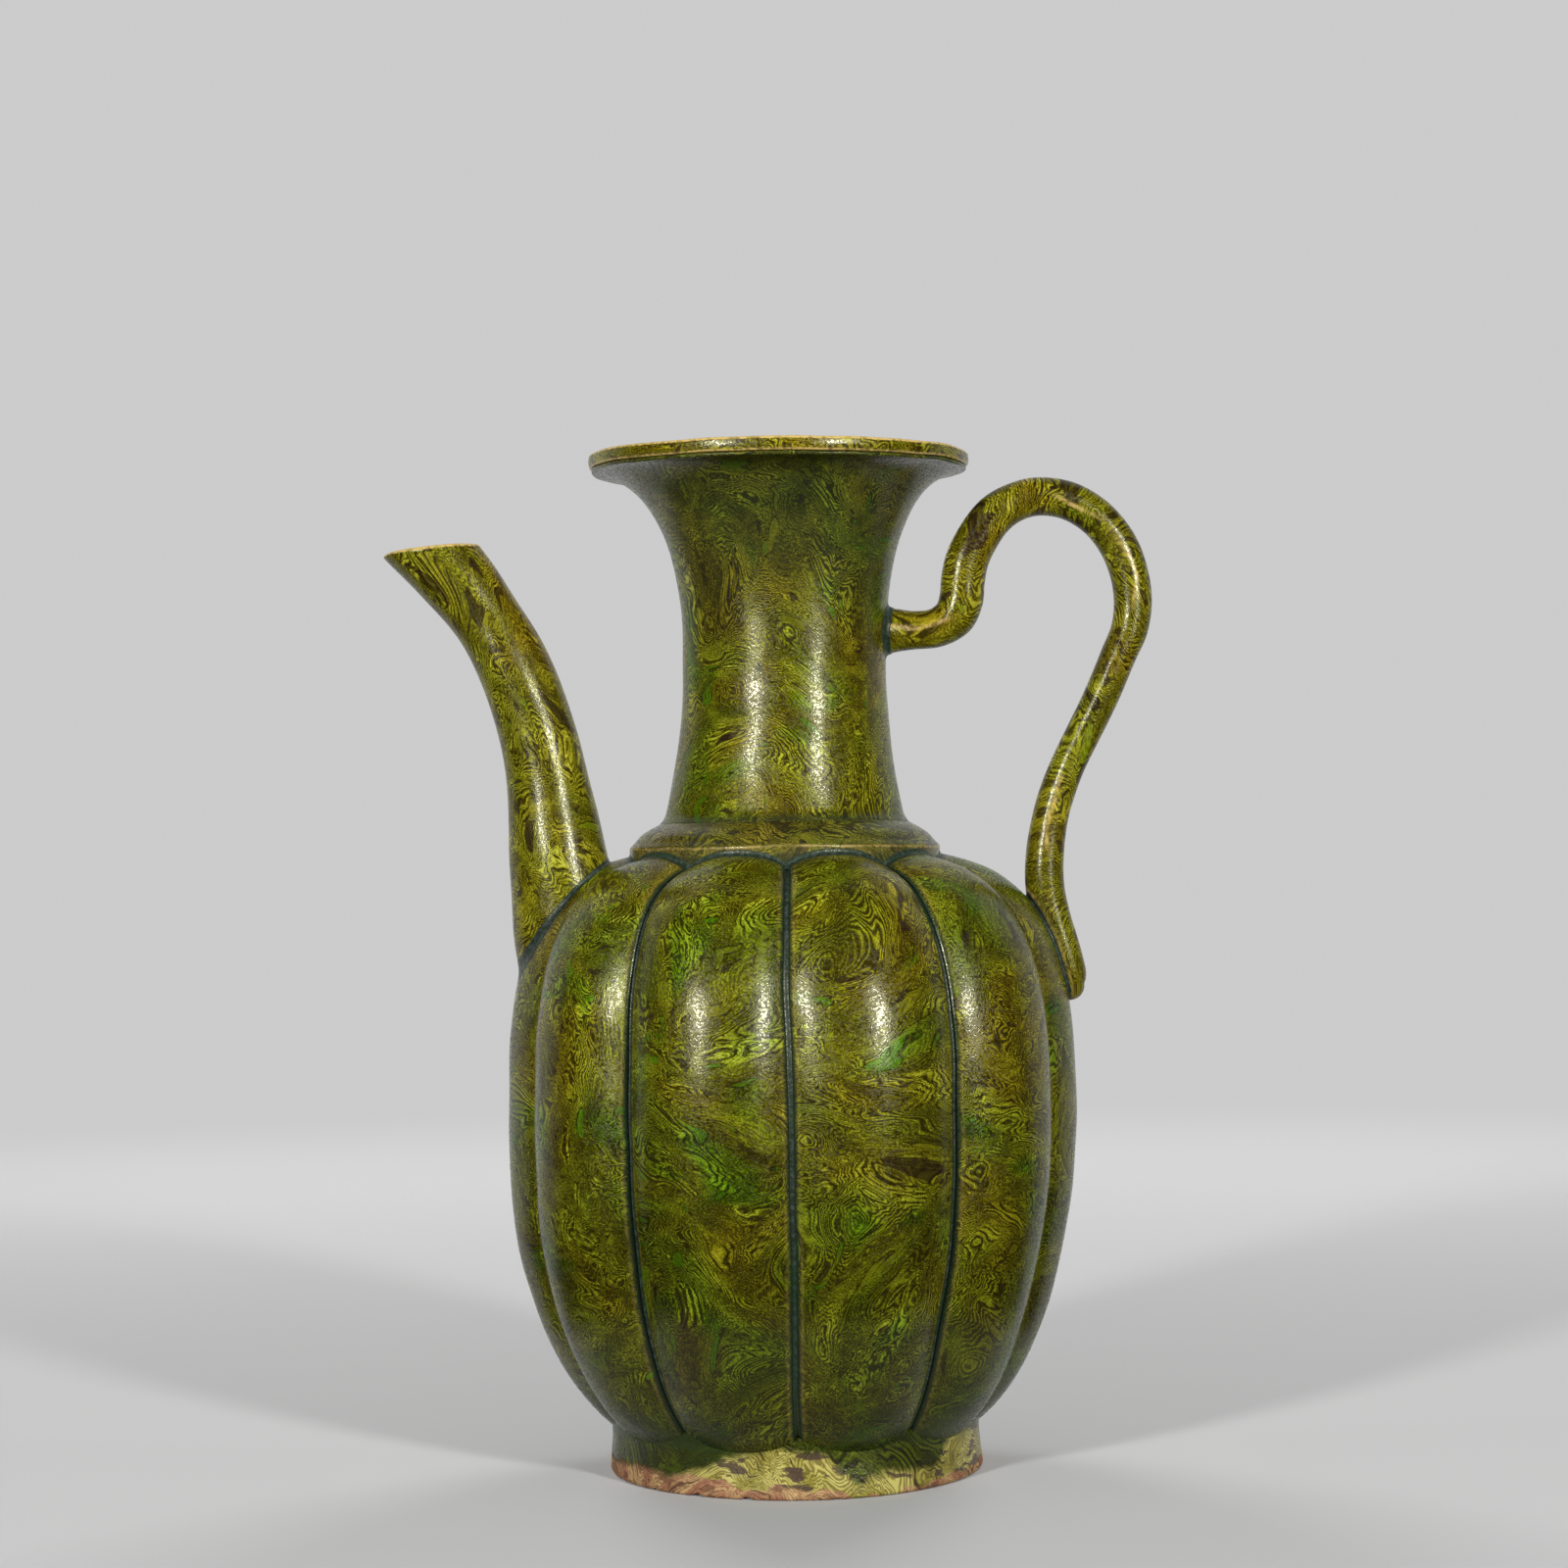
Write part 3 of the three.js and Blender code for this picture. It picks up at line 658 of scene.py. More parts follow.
def bead_points(carrier, limb, corners, size):
    """The bead in the corner of a carrier and a limb. Each of its points is the place near the corner
    where the distances to both have given values: from one size out on the carrier, through a hollow,
    to one size up on the limb, and back below both skins. Newton steps bring the points there."""
    share_along = np.linspace(0, 1, bead_profile)
    hollow = 0.42
    on_carrier = size * share_along ** (1 / hollow)
    on_limb = size * (1 - share_along) ** (1 / hollow)
    back = -0.0008
    wanted_carrier = np.concatenate([[back], on_carrier, [size * 0.9, back]])
    wanted_limb = np.concatenate([[size * 0.9], on_limb, [back, back]])
    points = np.repeat(corners[:, None, :], len(wanted_carrier), axis=1)
    for _ in range(newton_steps):
        gap, carrier_way = carrier(points), gradient_of(carrier, points)
        distance, limb_way = limb(points)
        a, b = gap - wanted_carrier, distance - wanted_limb
        c = np.sum(carrier_way * limb_way, axis=-1)
        spread = np.maximum(1 - c * c, least_spread)
        step_a, step_b = (a - c * b) / spread, (b - c * a) / spread
        step = step_a[..., None] * carrier_way + step_b[..., None] * limb_way
        points = points - newton_share * step
    return points


def footprint(carrier, limb, middle, up, reach):
    """The line where a limb meets its carrier: from a middle on the carrier, rays run out along the
    skin, between +Y and up, and each stops where it leaves the limb."""
    turn = angles(bead_steps).T
    rays = np.cos(turn) * np.array([0, 1.0, 0]) + np.sin(turn) * up
    out = np.linspace(0, reach, ray_points)
    points = middle + out[:, None, None] * rays[None, :, :]
    for _ in range(6):
        points = points - carrier(points)[..., None] * gradient_of(carrier, points)
    distance = limb(points)[0]
    place = first_crossing(distance, np.arange(len(out), dtype=float))
    low = np.floor(place).astype(int)
    part = (place - low)[:, None]
    column = np.arange(bead_steps)
    return points[low, column] * (1 - part) + points[np.minimum(low + 1, len(out) - 1), column] * part


# Materials

def new_node(tree, kind, inputs=(), **settings):
    """A node with its settings made and its inputs set or linked, by name or number."""
    made = tree.nodes.new(kind)
    for setting, value in settings.items():
        setattr(made, setting, value)
    for key, value in dict(inputs).items():
        socket = made.inputs[key]
        if isinstance(value, bpy.types.NodeSocket):
            tree.links.new(value, socket)
        else:
            socket.default_value = value
    return made


def calc(tree, operation, a, b=0.0, c=0.0, clamp=False):
    """What a maths node makes of its values."""
    made = new_node(tree, "ShaderNodeMath", {0: a, 1: b, 2: c}, operation=operation, use_clamp=clamp)
    return made.outputs[0]


def plus(tree, a, b, clamp=False):
    """The sum of two values, kept between 0 and 1 if it is clamped."""
    return calc(tree, "ADD", a, b, clamp=clamp)


def less(tree, a, b):
    """The first value less the second one."""
    return calc(tree, "SUBTRACT", a, b)


def times(tree, a, b):
    """The product of two values."""
    return calc(tree, "MULTIPLY", a, b)


def vector_calc(tree, operation, a, b):
    """What a vector maths node makes of two vectors."""
    return new_node(tree, "ShaderNodeVectorMath", {0: a, 1: b}, operation=operation).outputs[0]


def ranged(tree, value, low, high, to_low=0.0, to_high=1.0):
    """A value's smooth way from one range to another, held at its ends."""
    made = new_node(tree, "ShaderNodeMapRange", {0: value, 1: low, 2: high, 3: to_low, 4: to_high},
                    interpolation_type="SMOOTHSTEP")
    return made.outputs[0]


def mixed(tree, amount, a, b, blend="MIX"):
    """Two colours, blended by an amount."""
    made = new_node(tree, "ShaderNodeMix", {0: amount, 6: a, 7: b}, data_type="RGBA", blend_type=blend)
    return made.outputs[2]


def noise(tree, place, scale, detail=1.0, roughness=0.5, output="Fac"):
    """A noise of a place. The greater its scale, the finer it is."""
    made = new_node(tree, "ShaderNodeTexNoise",
                    {"Vector": place, "Scale": scale, "Detail": detail, "Roughness": roughness})
    return made.outputs[output]


def attribute(tree, name, output="Fac"):
    """What a mark of the mesh says here."""
    return new_node(tree, "ShaderNodeAttribute", attribute_name=name).outputs[output]


def rgba(values):
    """A colour that lets nothing through."""
    return (*values, 1.0)


def shaded(tree, value, stops):
    """A colour for each value, blended between stops of (value, colour)."""
    made = new_node(tree, "ShaderNodeValToRGB", {0: value})
    elements = made.color_ramp.elements
    while len(elements) < len(stops):
        elements.new(0.5)
    for element, (at, colour_there) in zip(elements, stops):
        element.position = at
        element.color = rgba(colour_there)
    return made.outputs[0]


def new_group(name, numbers, results):
    """An empty node group that is given a place and numbers, each with its default, and that puts out
    numbers."""
    tree = bpy.data.node_groups.new(name, "ShaderNodeTree")
    tree.interface.new_socket("Place", in_out="INPUT", socket_type="NodeSocketVector")
    for number, default in numbers.items():
        socket = tree.interface.new_socket(number, in_out="INPUT", socket_type="NodeSocketFloat")
        socket.default_value = default
    for result in results:
        tree.interface.new_socket(result, in_out="OUTPUT", socket_type="NodeSocketFloat")
    group_in = tree.nodes.new("NodeGroupInput")
    group_out = tree.nodes.new("NodeGroupOutput")
    return tree, group_in.outputs, group_out.inputs


def use_group(tree, name, inputs):
    """What a node group puts out for its inputs."""
    return new_node(tree, "ShaderNodeGroup", inputs, node_tree=bpy.data.node_groups[name]).outputs


def folded(tree, place, scale, amount):
    """A place moved by a noise of itself, as kneading folds clay: amount is the most it moves."""
    made = noise(tree, place, scale, 1.0, output="Color")
    centred = vector_calc(tree, "SUBTRACT", made, (0.5, 0.5, 0.5))
    scaled = new_node(tree, "ShaderNodeVectorMath", {0: centred, "Scale": amount}, operation="SCALE")
    return vector_calc(tree, "ADD", place, scaled.outputs[0])


def line_wave(tree, field, count):
    """Contour lines of a field: the cosine of the field times a count of turns, as 0 to 1."""
    turned = times(tree, field, times(tree, count, TURN))
    return calc(tree, "MULTIPLY_ADD", calc(tree, "COSINE", turned), 0.5, 0.5)


def make_marbling_group():
    """Mixed clays, kneaded and cut through. The place in millimetres is folded again and again, from
    wide folds to a fine tremble, and layers of clay that were flat before the folding are cut through:
    wide ones in some zones and a fine grain everywhere. Patches follow the same folds."""
    tree, given, wanted = new_group(
        "mixed_clays", {"Band count": 0.5, "Grain count": 1.0, "Zone": 0.0, "Spots": 0.0},
        ("Bands", "Grain", "Zone", "Patch", "Outline", "Dark", "Cloud", "Strength", "Tint", "Vivid"))
    place = given["Place"]
    wide = folded(tree, place, 0.024, 46.0)
    middle = folded(tree, wide, 0.075, 17.0)
    fine = folded(tree, middle, 0.2, 4.6)
    trembling = folded(tree, folded(tree, fine, 0.5, 1.7), 1.5, 0.5)

    def apart(vector, x, y, z):
        """A place in another part of the clay, so that each field has a noise of its own."""
        return vector_calc(tree, "ADD", vector, (x, y, z))

    def layers(vector, way, count):
        """Layers across a way, cut through."""
        along = new_node(tree, "ShaderNodeVectorMath", {0: vector, 1: way}, operation="DOT_PRODUCT")
        return line_wave(tree, along.outputs["Value"], count)

    bands = layers(fine, (0.5, 0.2, 0.84), given["Band count"])
    grain = layers(trembling, (0.24, 0.3, 0.92), given["Grain count"])
    zone_field = noise(tree, apart(middle, 5.0, 41.0, 17.0), 0.09, 1.0)
    zone = ranged(tree, plus(tree, zone_field, given["Zone"]), 0.56, 0.62)
    patch_field = noise(tree, apart(fine, 71.0, 3.0, 29.0), 0.2, 0.0)
    patch = ranged(tree, patch_field, 0.72, 0.735)
    outline = less(tree, ranged(tree, patch_field, 0.69, 0.71), patch)
    dark_field = noise(tree, apart(fine, 3.0, 97.0, 53.0), 0.2, 0.0)
    dark = ranged(tree, plus(tree, dark_field, given["Spots"]), 0.765, 0.79)
    cloud = noise(tree, apart(middle, 23.0, 37.0, 71.0), 0.12, 5.0, 0.65)
    strength_field = noise(tree, apart(middle, 83.0, 11.0, 47.0), 0.07, 2.0)
    strength = ranged(tree, strength_field, 0.38, 0.62, 0.4, 1.15)
    tint = noise(tree, apart(wide, 13.0, 59.0, 7.0), 0.04, 2.0)
    vivid = noise(tree, apart(wide, 43.0, 19.0, 61.0), 0.06, 1.0)
    for name, socket in (("Bands", bands), ("Grain", grain), ("Zone", zone), ("Patch", patch),
                         ("Outline", outline), ("Dark", dark), ("Cloud", cloud), ("Strength", strength),
                         ("Tint", tint), ("Vivid", vivid)):
        tree.links.new(socket, wanted[name])


def make_skin_group():
    """The glaze's relief, in shares of its depth: pinholes, a swell, and the layers of clay under it,
    and its roughness, which changes from place to place."""
    tree, given, wanted = new_group(
        "glaze_skin", {"Grain": 0.5, "Smoothest": 0.16, "Roughest": 0.42}, ("Height", "Rough"))
    speckle = noise(tree, given["Place"], 2.1, 2.0, 0.6)
    swell = noise(tree, given["Place"], 0.2, 1.0)
    height = plus(tree, speckle, times(tree, swell, 2.0))
    height = plus(tree, height, times(tree, given["Grain"], 0.15))
    fine = noise(tree, vector_calc(tree, "ADD", given["Place"], (31.0, 7.0, 19.0)), 1.5, 1.0)
    rough = ranged(tree, fine, 0.4, 0.6, given["Smoothest"], given["Roughest"])
    tree.links.new(height, wanted["Height"])
    tree.links.new(rough, wanted["Rough"])


def marbled_colour(tree, finish, clays, tone, richness, greenness=1.0):
    """How light the mixed clay is, from its cloudiness, its grain and its wide bands, and then the
    glaze colour for it. Tone shifts the whole, richness is how strong the grain is, and greenness how
    strong the green drifts are."""
    cloud = ranged(tree, clays["Cloud"], 0.3, 0.72, -0.19, 0.19)
    grit = less(tree, noise(tree, attribute(tree, "clay", "Vector"), 2.6, 2.0), 0.5)
    grain = times(tree, less(tree, clays["Grain"], 0.5), clays["Strength"])
    grain = times(tree, plus(tree, grain, times(tree, grit, 1.8)), richness)
    fine = plus(tree, plus(tree, cloud, grain), 0.42 + tone)
    dark_line = ranged(tree, clays["Bands"], 0.1, 0.34, -0.42, 0.0)
    light_line = ranged(tree, clays["Bands"], 0.4, 0.8, 0.0, 0.2)
    wide = plus(tree, plus(tree, dark_line, light_line), plus(tree, fine, 0.08))
    banded = times(tree, clays["Zone"], less(tree, wide, fine))
    lightness = plus(tree, banded, fine)
    flat = times(tree, clays["Patch"], less(tree, 0.66 + tone, lightness))
    lightness = plus(tree, lightness, times(tree, flat, 0.6))
    lightness = less(tree, lightness, times(tree, clays["Outline"], 0.3))
    colours = shaded(tree, lightness, (
        (0.0, finish.dark_clay), (0.34, finish.mixed_clay),
        (0.66, finish.light_clay), (1.0, finish.pale_clay)))
    colours = mixed(tree, times(tree, clays["Dark"], 0.8), colours, rgba(finish.purple))
    green = ranged(tree, clays["Tint"], 0.48, 0.68, 0.0, 0.65 * greenness)
    colours = mixed(tree, green, colours, rgba(finish.green_tint), "MULTIPLY")
    brown = ranged(tree, clays["Tint"], 0.5, 0.32, 0.0, 0.7)
    colours = mixed(tree, brown, colours, rgba(finish.brown_tint), "MULTIPLY")
    vivid = ranged(tree, clays["Vivid"], 0.58, 0.7, 0.0, 0.6 * greenness)
    vivid_patches = times(tree, clays["Patch"], ranged(tree, clays["Vivid"], 0.5, 0.58))
    vivid = plus(tree, vivid, vivid_patches, clamp=True)
    return mixed(tree, times(tree, vivid, greenness), colours, rgba(finish.vivid), "MULTIPLY")


def new_material(name):
    """The node tree of a new material, without nodes."""
    material = bpy.data.materials.new(name)
    material.use_nodes = True
    tree = material.node_tree
    tree.nodes.clear()
    return tree


def glazed_shader(tree, finish, colours, rough, height, depth):
    """The glaze: a glossy body with its relief, whose depth is in metres."""
    bump = new_node(tree, "ShaderNodeBump", {"Strength": 1.0, "Distance": depth, "Height": height})
    shader = new_node(tree, "ShaderNodeBsdfPrincipled",
                      {"Base Color": colours, "Roughness": rough, "Normal": bump.outputs["Normal"],
                       "IOR": 1.5, "Specular IOR Level": 0.33, "Specular Tint": rgba(finish.gloss)})
    new_node(tree, "ShaderNodeOutputMaterial", {"Surface": shader.outputs[0]})


def make_glaze(name, finish, hue, tone, richness, greenness, clay_counts, rough):
    """Marbled clay under glaze, which is thin on edges, pools in corners and is thick and green low down,
    most of all beside the front. Towards the bottom its colour is darkened as painted shade, and the pool
    mark also paints shade over the collar and the neck's flare. Rough is the least and the greatest
    roughness."""
    tree = new_material(name)
    place = attribute(tree, "clay", "Vector")
    clays = use_group(tree, "mixed_clays", {"Place": place, **clay_counts})
    skin = use_group(tree, "glaze_skin", {
        "Place": place, "Grain": clays["Grain"], "Smoothest": rough[0], "Roughest": rough[1]})
    colours = marbled_colour(tree, finish, clays, tone, richness, greenness)
    colours = mixed(tree, 1.0, colours, rgba(hue), "MULTIPLY")
    stands = new_node(tree, "ShaderNodeTexCoord").outputs["Object"]
    stands = new_node(tree, "ShaderNodeSeparateXYZ", {0: stands}).outputs
    height = stands["Z"]
    off_front = calc(tree, "ABSOLUTE", less(tree, stands["X"], 0.008))
    aside = ranged(tree, off_front, 0.01, 0.034, 0.3, 1.0)
    # Painted shade: the colour darkens towards the bottom in two overlapping steps, for the light that falls
    # off low on the body.
    for top, bottom in ((0.125, 0.045), (0.06, 0.012)):
        thick = ranged(tree, height, top, bottom)
        colours = mixed(tree, thick, colours, rgba(finish.painted_low_shade), "MULTIPLY")
    low = times(tree, ranged(tree, height, 0.024, 0.0105, 0.0, 0.7), aside)
    colours = mixed(tree, low, colours, rgba(finish.foot_green))
    broken = noise(tree, place, 0.8, 2.0)
    thin = times(tree, attribute(tree, "thin"), ranged(tree, broken, 0.4, 0.62, 0.3, 0.95))
    colours = mixed(tree, thin, colours, rgba(finish.thin))
    # The pool mark is pooled glaze in grooves and joints, and painted shade over the collar and the neck's
    # flare.
    pool_and_shade = times(tree, attribute(tree, "pool_and_shade"), ranged(tree, broken, 0.2, 0.5, 0.75, 1.0))
    colours = mixed(tree, pool_and_shade, colours, rgba(finish.pooled_and_shade))
    glazed_shader(tree, finish, colours, skin["Rough"], skin["Height"], glaze_relief)


def make_pooled_glaze(finish):
    """Thick dark glaze in grooves and joints, mottled blue-grey and green."""
    tree = new_material("Pooled glaze")
    place = attribute(tree, "clay", "Vector")
    mottle = noise(tree, place, 0.9, 3.0, 0.6)
    drift = noise(tree, place, 0.06, 1.0)
    mottle = ranged(tree, mottle, 0.4, 0.66)
    colours = mixed(tree, mottle, rgba(finish.pooled_and_shade), rgba(finish.pooled_mottle))
    green = times(tree, ranged(tree, drift, 0.5, 0.65), 0.7)
    colours = mixed(tree, green, colours, rgba(finish.pooled_green))
    colours = mixed(tree, attribute(tree, "pool_and_shade"), colours, rgba(finish.pooled_low))
    skin = use_group(tree, "glaze_skin", {"Place": place, "Grain": 0.0, "Smoothest": 0.3, "Roughest": 0.5})
    glazed_shader(tree, finish, colours, skin["Rough"], skin["Height"], pooled_relief)


def make_foot_clay(finish):
    """The foot: dark glaze above an uneven line that is lowest to the left and right of the front,
    thin pale glaze below it, and bare mixed clays. Its outside is marked with the height in
    millimetres."""
    tree = new_material("Foot clay")
    place = attribute(tree, "clay", "Vector")
    clays = use_group(tree, "mixed_clays", {
        "Place": place, "Band count": 0.5, "Grain count": 1.3, "Zone": 0.07})
    skin = use_group(tree, "glaze_skin", {"Place": place, "Grain": clays["Grain"]})
    glazed = marbled_colour(tree, finish, clays, -0.06, 0.3)
    glazed = mixed(tree, 1.0, glazed, rgba(finish.foot_tint), "MULTIPLY")
    glazed = mixed(tree, attribute(tree, "pool_and_shade"), glazed, rgba(finish.foot_green))
    lines = times(tree, ranged(tree, clays["Bands"], 0.3, 0.06), clays["Zone"])
    grain = ranged(tree, clays["Grain"], 0.8, 0.1)
    patches = ranged(tree, clays["Cloud"], 0.42, 0.58)
    flattened = vector_calc(tree, "MULTIPLY", place, (0.55, 0.55, 1.5))
    blots = ranged(tree, noise(tree, flattened, 0.2, 3.0), 0.55, 0.59)
    grit = noise(tree, place, 1.6, 2.0)

    bare = mixed(tree, patches, rgba(finish.bare_pink), rgba(finish.bare_light))
    for dark, amount in ((grain, 0.55), (lines, 0.85), (blots, 0.55)):
        bare = mixed(tree, times(tree, dark, amount), bare, rgba(finish.bare_dark))
    bare = mixed(tree, ranged(tree, grit, 0.5, 0.7, 0.0, 0.4), bare, rgba(finish.bare_dark))

    washed = mixed(tree, patches, rgba(finish.washed_mixed), rgba(finish.washed_light))
    for dark, amount, tint in ((grain, 0.75, finish.washed_grain), (lines, 0.95, finish.washed_line),
                               (blots, 0.9, finish.washed_blot)):
        washed = mixed(tree, times(tree, dark, amount), washed, rgba(tint))

    height = attribute(tree, "height")
    across = new_node(tree, "ShaderNodeSeparateXYZ", {0: place}).outputs["X"]
    left = ranged(tree, across, -6.0, -27.0)
    right = less(tree, ranged(tree, across, 8.0, 18.0), ranged(tree, across, 33.0, 40.0))
    waver = times(tree, less(tree, noise(tree, place, 0.13, 3.0), 0.5), 7.0)
    level = plus(tree, height, waver)
    sides = plus(tree, times(tree, left, 6.8), times(tree, right, 6.0))
    over_washed = plus(tree, level, less(tree, sides, 10.6))
    bare_line = calc(tree, "MULTIPLY_ADD", left, -2.4, calc(tree, "MULTIPLY_ADD", right, 2.2, -2.6))
    over_bare = plus(tree, level, bare_line)
    colours = mixed(tree, ranged(tree, over_bare, -0.3, 0.3), bare, washed)
    colours = mixed(tree, ranged(tree, over_washed, -1.2, 1.6), colours, glazed)
    bare_rough = ranged(tree, over_bare, -0.3, 0.3, 0.55, 0.16)
    rough = plus(tree, bare_rough, times(tree, skin["Rough"], 0.4))
    relief = plus(tree, skin["Height"], times(tree, grit, 2.0))
    glazed_shader(tree, finish, colours, rough, relief, foot_relief)


def make_stage_material(finish):
    """A plain pale matt surface that throws little light back. Away from the ewer the camera and
    reflections see it evenly pale."""
    tree = new_material("Stage paper")
    grey = mixed(tree, seen_directly(tree), rgba(finish.thrown), rgba(finish.floor))
    shader = new_node(tree, "ShaderNodeBsdfPrincipled", {
        "Base Color": grey, "Roughness": 0.9, "Specular IOR Level": 0.2})
    shown = new_node(tree, "ShaderNodeEmission", {"Color": rgba(finish.backdrop), "Strength": 1.0})
    place = tree.nodes.new("ShaderNodeTexCoord").outputs["Object"]
    behind = new_node(tree, "ShaderNodeSeparateXYZ", {0: place}).outputs["Y"]
    away = new_node(tree, "ShaderNodeVectorMath", {0: place}, operation="LENGTH").outputs["Value"]
    far = calc(tree, "MAXIMUM", ranged(tree, behind, 0.25, 1.8), ranged(tree, away, 0.5, 1.05))
    amount = times(tree, far, seen_directly(tree))
    both = new_node(tree, "ShaderNodeMixShader", {0: amount, 1: shader.outputs[0], 2: shown.outputs[0]})
    new_node(tree, "ShaderNodeOutputMaterial", {"Surface": both.outputs[0]})


def seen_directly(tree):
    """One where the camera, a reflection or a refraction looks, and zero for the light itself."""
    path = tree.nodes.new("ShaderNodeLightPath").outputs
    both = plus(tree, path["Is Camera Ray"], path["Is Glossy Ray"])
    return plus(tree, both, path["Is Transmission Ray"], clamp=True)


def make_materials(finish):
    """Makes the node groups first, and then the materials that use them."""
    make_marbling_group()
    make_skin_group()
    make_glaze("Marbled clay", finish, finish.olive, tone=-0.155, richness=0.62, greenness=1.0,
               clay_counts={"Band count": 0.75, "Grain count": 1.75, "Zone": -0.005, "Spots": 0.0},
               rough=(0.16, 0.38))
    make_glaze("Ochre marbled clay", finish, finish.ochre, tone=-0.07, richness=0.6, greenness=0.35,
               clay_counts={"Band count": 0.62, "Grain count": 1.4, "Zone": 0.02, "Spots": 0.085},
               rough=(0.16, 0.34))
    make_pooled_glaze(finish)
    make_foot_clay(finish)
    make_stage_material(finish)


# Pieces

class PieceMaker:
    """What the operators that make pieces share."""
    bl_options = {"REGISTER", "UNDO"}

    def execute(self, context):
        scene = context.scene
        self.make(scene.ewer_body, scene.ewer_neck, scene.ewer_spout, scene.ewer_handle)
        return {"FINISHED"}


class EWER_OT_finishes(bpy.types.Operator):
    """Make the clay, glaze and stage materials"""
    bl_idname = "ewer.finishes"
    bl_label = "Clay and glazes"
    bl_options = {"REGISTER", "UNDO"}

    def execute(self, context):
        make_materials(context.scene.ewer_finish)
        return {"FINISHED"}


def lobe_grid(body, number):
    """Points of a lobe, rows up the crest and columns round its section, with how far each lies across
    the lobe and below the crest, and the lobe's half width. At a share of the way across, the skin has
    sunk along the crest's normal by the groove's depth times the share raised to the lobe power. At
    both edges it turns in on a quarter circle, and the inner side has as many columns."""
    line = crest_line(body)
    radius, height = line[:, 0:1], line[:, 1:2]
    normal_r, normal_z, _ = crest_normal(body, radius, height)
    depth = groove_at(body, height)
    crowd = math.pi / 2 * lobe_crowding
    across = np.sin(np.linspace(-1, 1, lobe_columns) * crowd) / math.sin(crowd)
    quarter = np.linspace(0, math.pi / 2, round_columns + 1)[1:]
    edge = body.edge_round
    half_angle = TURN / body.lobe_count / 2
    edge_radius = radius - normal_r * depth
    edge_angle = half_angle - np.arcsin(body.groove_half_width / edge_radius)
    in_share = 1 - edge / (edge_radius * edge_angle)
    outer_way = across[None, :] * in_share
    outer_sunk = depth * np.abs(outer_way) ** body.lobe_power
    corner_way = in_share + (1 - in_share) * np.sin(quarter)[None, :]
    corner_sunk = depth * in_share ** body.lobe_power
    corner_sunk = corner_sunk + edge * (1 - np.cos(quarter)) + edge * np.sin(quarter) * 0.4
    upper_way = np.concatenate([-corner_way[:, ::-1], outer_way, corner_way], axis=1)
    inner_way = upper_way[:, ::-1]
    inner_sunk = depth * np.abs(inner_way) ** body.lobe_power + body.wall
    way = np.concatenate([upper_way, inner_way], axis=1)
    sunk = np.concatenate([corner_sunk[:, ::-1], outer_sunk, corner_sunk, inner_sunk], axis=1)
    turn = TURN / body.lobe_count * number
    point_height = np.maximum(height - normal_z * sunk, body.foot_height + hair)
    points = round_the_axis(radius - normal_r * sunk, point_height, turn + way * edge_angle)
    return points, way, sunk, edge_radius * edge_angle


class EWER_OT_lobes(PieceMaker, bpy.types.Operator):
    """Make the lobe panels of the body"""
    bl_idname = "ewer.lobes"
    bl_label = "Lobes"

    def make(self, body, neck, spout, handle):
        up = way_along(crest_line(body))[:, None]
        for number in range(body.lobe_count):
            points, way, sunk, half_width = lobe_grid(body, number)
            node = f"lobe_{number + 1:02d}"
            side = way * half_width
            clay = np.stack([side / MILLIMETRE, np.broadcast_to(up, side.shape) / MILLIMETRE,
                             np.full(side.shape, 61.0 * number) + sunk / MILLIMETRE], axis=-1)
            to_edge = np.broadcast_to(half_width, side.shape) - np.abs(side)
            to_collar = off_axis(points) - neck.collar_radius - collar_sunk
            to_collar = np.where(points[..., 2] > body.belly_height, to_collar, 1)
            to_line = np.minimum(to_edge, to_collar)
            thin = 0.12 * band(to_edge, 0.0006, 0.001, 0.0011, 0.0018)
            rim = band(to_collar, 0.0001, 0.0003, 0.0004, 0.0009)
            thin = np.maximum(thin, 0.5 * rim * (to_edge > 0.0009))
            pool_and_shade = 1 - smooth_step(to_line, 0.0, 0.0012)
            marks = flat_marks({"clay": clay, "thin": thin, "pool_and_shade": pool_and_shade})
            faces = self.faces(*points.shape[:2])
            new_piece(node, points.reshape(-1, 3), faces, marks, "Marbled clay")

    def faces(self, rows, columns):
        """The faces round the section, and a row of faces over each end, from outside to inside."""
        j = np.arange(columns // 2 - 1)
        end = np.stack([j, columns - 1 - j, columns - 2 - j, j + 1], axis=-1)
        other_end = (end + (rows - 1) * columns)[:, ::-1]
        return np.concatenate([quads_of(rows, columns, False, True), end, other_end])


class EWER_OT_seams(PieceMaker, bpy.types.Operator):
    """Make the slip seams in the grooves"""
    bl_idname = "ewer.seams"
    bl_label = "Seams"

    def make(self, body, neck, spout, handle):
        line = crest_line(body)
        radius, height = line[:, 0:1], line[:, 1:2]
        normal_r, normal_z, _ = crest_normal(body, radius, height)
        half_width = body.groove_half_width + body.edge_round * 0.5
        across = np.linspace(-1, 1, 11)
        hollow = seam_hollow - 0.0003 * across ** 2
        side = np.concatenate([across * half_width, [half_width * 0.7, -half_width * 0.7]])[None, :]
        sunk = groove_at(body, height) + np.concatenate([hollow, [seam_depth, seam_depth]])[None, :]
        out = radius - normal_r * sunk
        up = np.maximum(height - normal_z * sunk, body.foot_height + hair)
        side, out, up = np.broadcast_arrays(side, out, up)
        for number in range(body.lobe_count):
            turn = TURN / body.lobe_count * (number + 0.5)
            points = np.stack([axis_x + out * math.cos(turn) - side * math.sin(turn),
                               out * math.sin(turn) + side * math.cos(turn), up], axis=-1)
            pool_and_shade = 1 - smooth_step(up, 0.014, 0.034)
            capped_piece(f"seam_{number + 1:02d}", points, {"clay": points / MILLIMETRE, "pool_and_shade": pool_and_shade},
                         "Pooled glaze")


